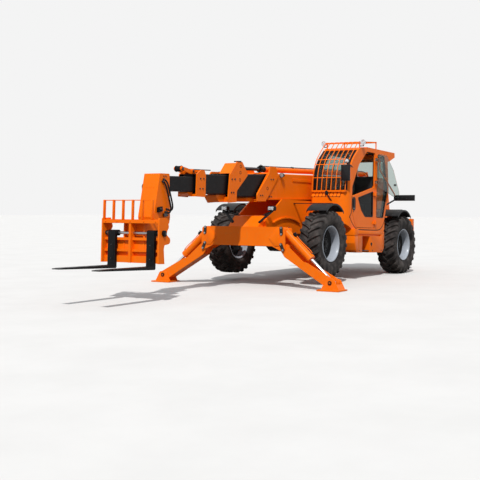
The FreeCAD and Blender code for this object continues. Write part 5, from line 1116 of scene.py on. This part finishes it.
# dash: binnacle hood, lever knob and column stalk
dashShape = bmesh.new()
join(dashShape, plate(((2080, 1440, 30), (2180, 1500, 30), (2330, 1470, 20), (2330, 1430, 10), (2090, 1420, 10)), "xz",
                      600, 840, 6), 0)
for y in (650, 700, 750, 800):
    join(dashShape, rodBetween((2078, y, 1452), (2090, y, 1462), 12, sides=16, chamfer=1), 1)
join(dashShape, rodBetween((1600, 470, 1180), (1650, 470, 1420), 9, sides=12, chamfer=1), 1)
join(dashShape, turnedShape(((-26, 0.01), (-22, 14), (-8, 24), (10, 24), (22, 16), (26, 0.01)), (1654, 470, 1440),
                            (0.2, 0, 1), 20), 0)
placePiece("dash_hood", dashShape, [mouldedPlastic, darkSteelAndPaintedReflection], "root", machineSpace)
print("stage: cab inside made")

# pale studio: floor, white backdrop seen by the camera, soft sky and one sun from the front left
studio = {
    "floorSize": 90.0,
    "floorColour": "#DBD8D4",
    "floorShade": "#D7D4D0",
    "floorBounce": "#77736F",
    "skyColour": "#E3EAF2",
    "skyStrength": 0.72,
    "sunStrength": 3.3,
    "sunAngle": 2.0,
    "sunAzimuth": 27.0,
    "sunHeight": 49.0,
}
floorMesh = bmesh.new()
bmesh.ops.create_grid(floorMesh, x_segments=1, y_segments=1, size=studio["floorSize"])
floorData = bpy.data.meshes.new("floor")
floorMesh.to_mesh(floorData)
floorMesh.free()
floor = bpy.data.objects.new("floor", floorData)
floor.location = (0, 0, -0.002)
bpy.context.scene.collection.objects.link(floor)
floorMaterial, floorTree, floorCoords = newMaterial("paleFloor")
floorNoise = noiseAt(floorTree, floorCoords, 900)
floorBase = mixColours(floorTree, (floorNoise, 0), hexColour(studio["floorColour"]), hexColour(studio["floorShade"]))
floorSeen = addNode(floorTree, "ShaderNodeBsdfPrincipled", {"Roughness": 0.9, "Specular IOR Level": 0.1},
                    {"Base Color": (floorBase, 2)})
floorLit = addNode(floorTree, "ShaderNodeBsdfDiffuse", {"Color": hexColour(studio["floorBounce"])})
floorPath = addNode(floorTree, "ShaderNodeLightPath")
floorBlend = addNode(floorTree, "ShaderNodeMixShader", links={0: (floorPath, "Is Diffuse Ray"), 1: (floorSeen, 0),
                                                              2: (floorLit, 0)})
addNode(floorTree, "ShaderNodeOutputMaterial", links={"Surface": (floorBlend, 0)})
floorData.materials.append(floorMaterial)

world = bpy.data.worlds.new("studioSky")
bpy.context.scene.world = world
world.use_nodes = True
worldTree = world.node_tree
worldTree.nodes.clear()
lightPath = addNode(worldTree, "ShaderNodeLightPath")
seen = addNode(worldTree, "ShaderNodeMath", links={0: (lightPath, "Is Camera Ray"), 1: (lightPath, "Is Glossy Ray")},
               operation="MAXIMUM")
seenToo = addNode(worldTree, "ShaderNodeMath", links={0: (seen, 0), 1: (lightPath, "Is Transmission Ray")},
                  operation="MAXIMUM")
skyLight = addNode(worldTree, "ShaderNodeBackground", {"Color": hexColour(studio["skyColour"]),
                                                       "Strength": studio["skyStrength"]})
whiteBack = addNode(worldTree, "ShaderNodeBackground", {"Color": hexColour("#F4F4F4"), "Strength": 1.0})
chooser = addNode(worldTree, "ShaderNodeMixShader", links={0: (seenToo, 0), 1: (skyLight, 0), 2: (whiteBack, 0)})
addNode(worldTree, "ShaderNodeOutputWorld", links={"Surface": (chooser, 0)})

sunData = bpy.data.lights.new("sun", "SUN")
sunData.energy = studio["sunStrength"]
sunData.angle = math.radians(studio["sunAngle"])
sun = bpy.data.objects.new("sun", sunData)
sun.rotation_euler = (math.radians(90 - studio["sunHeight"]), 0, math.radians(90 + studio["sunAzimuth"]))
bpy.context.scene.collection.objects.link(sun)
print("stage: studio lit")
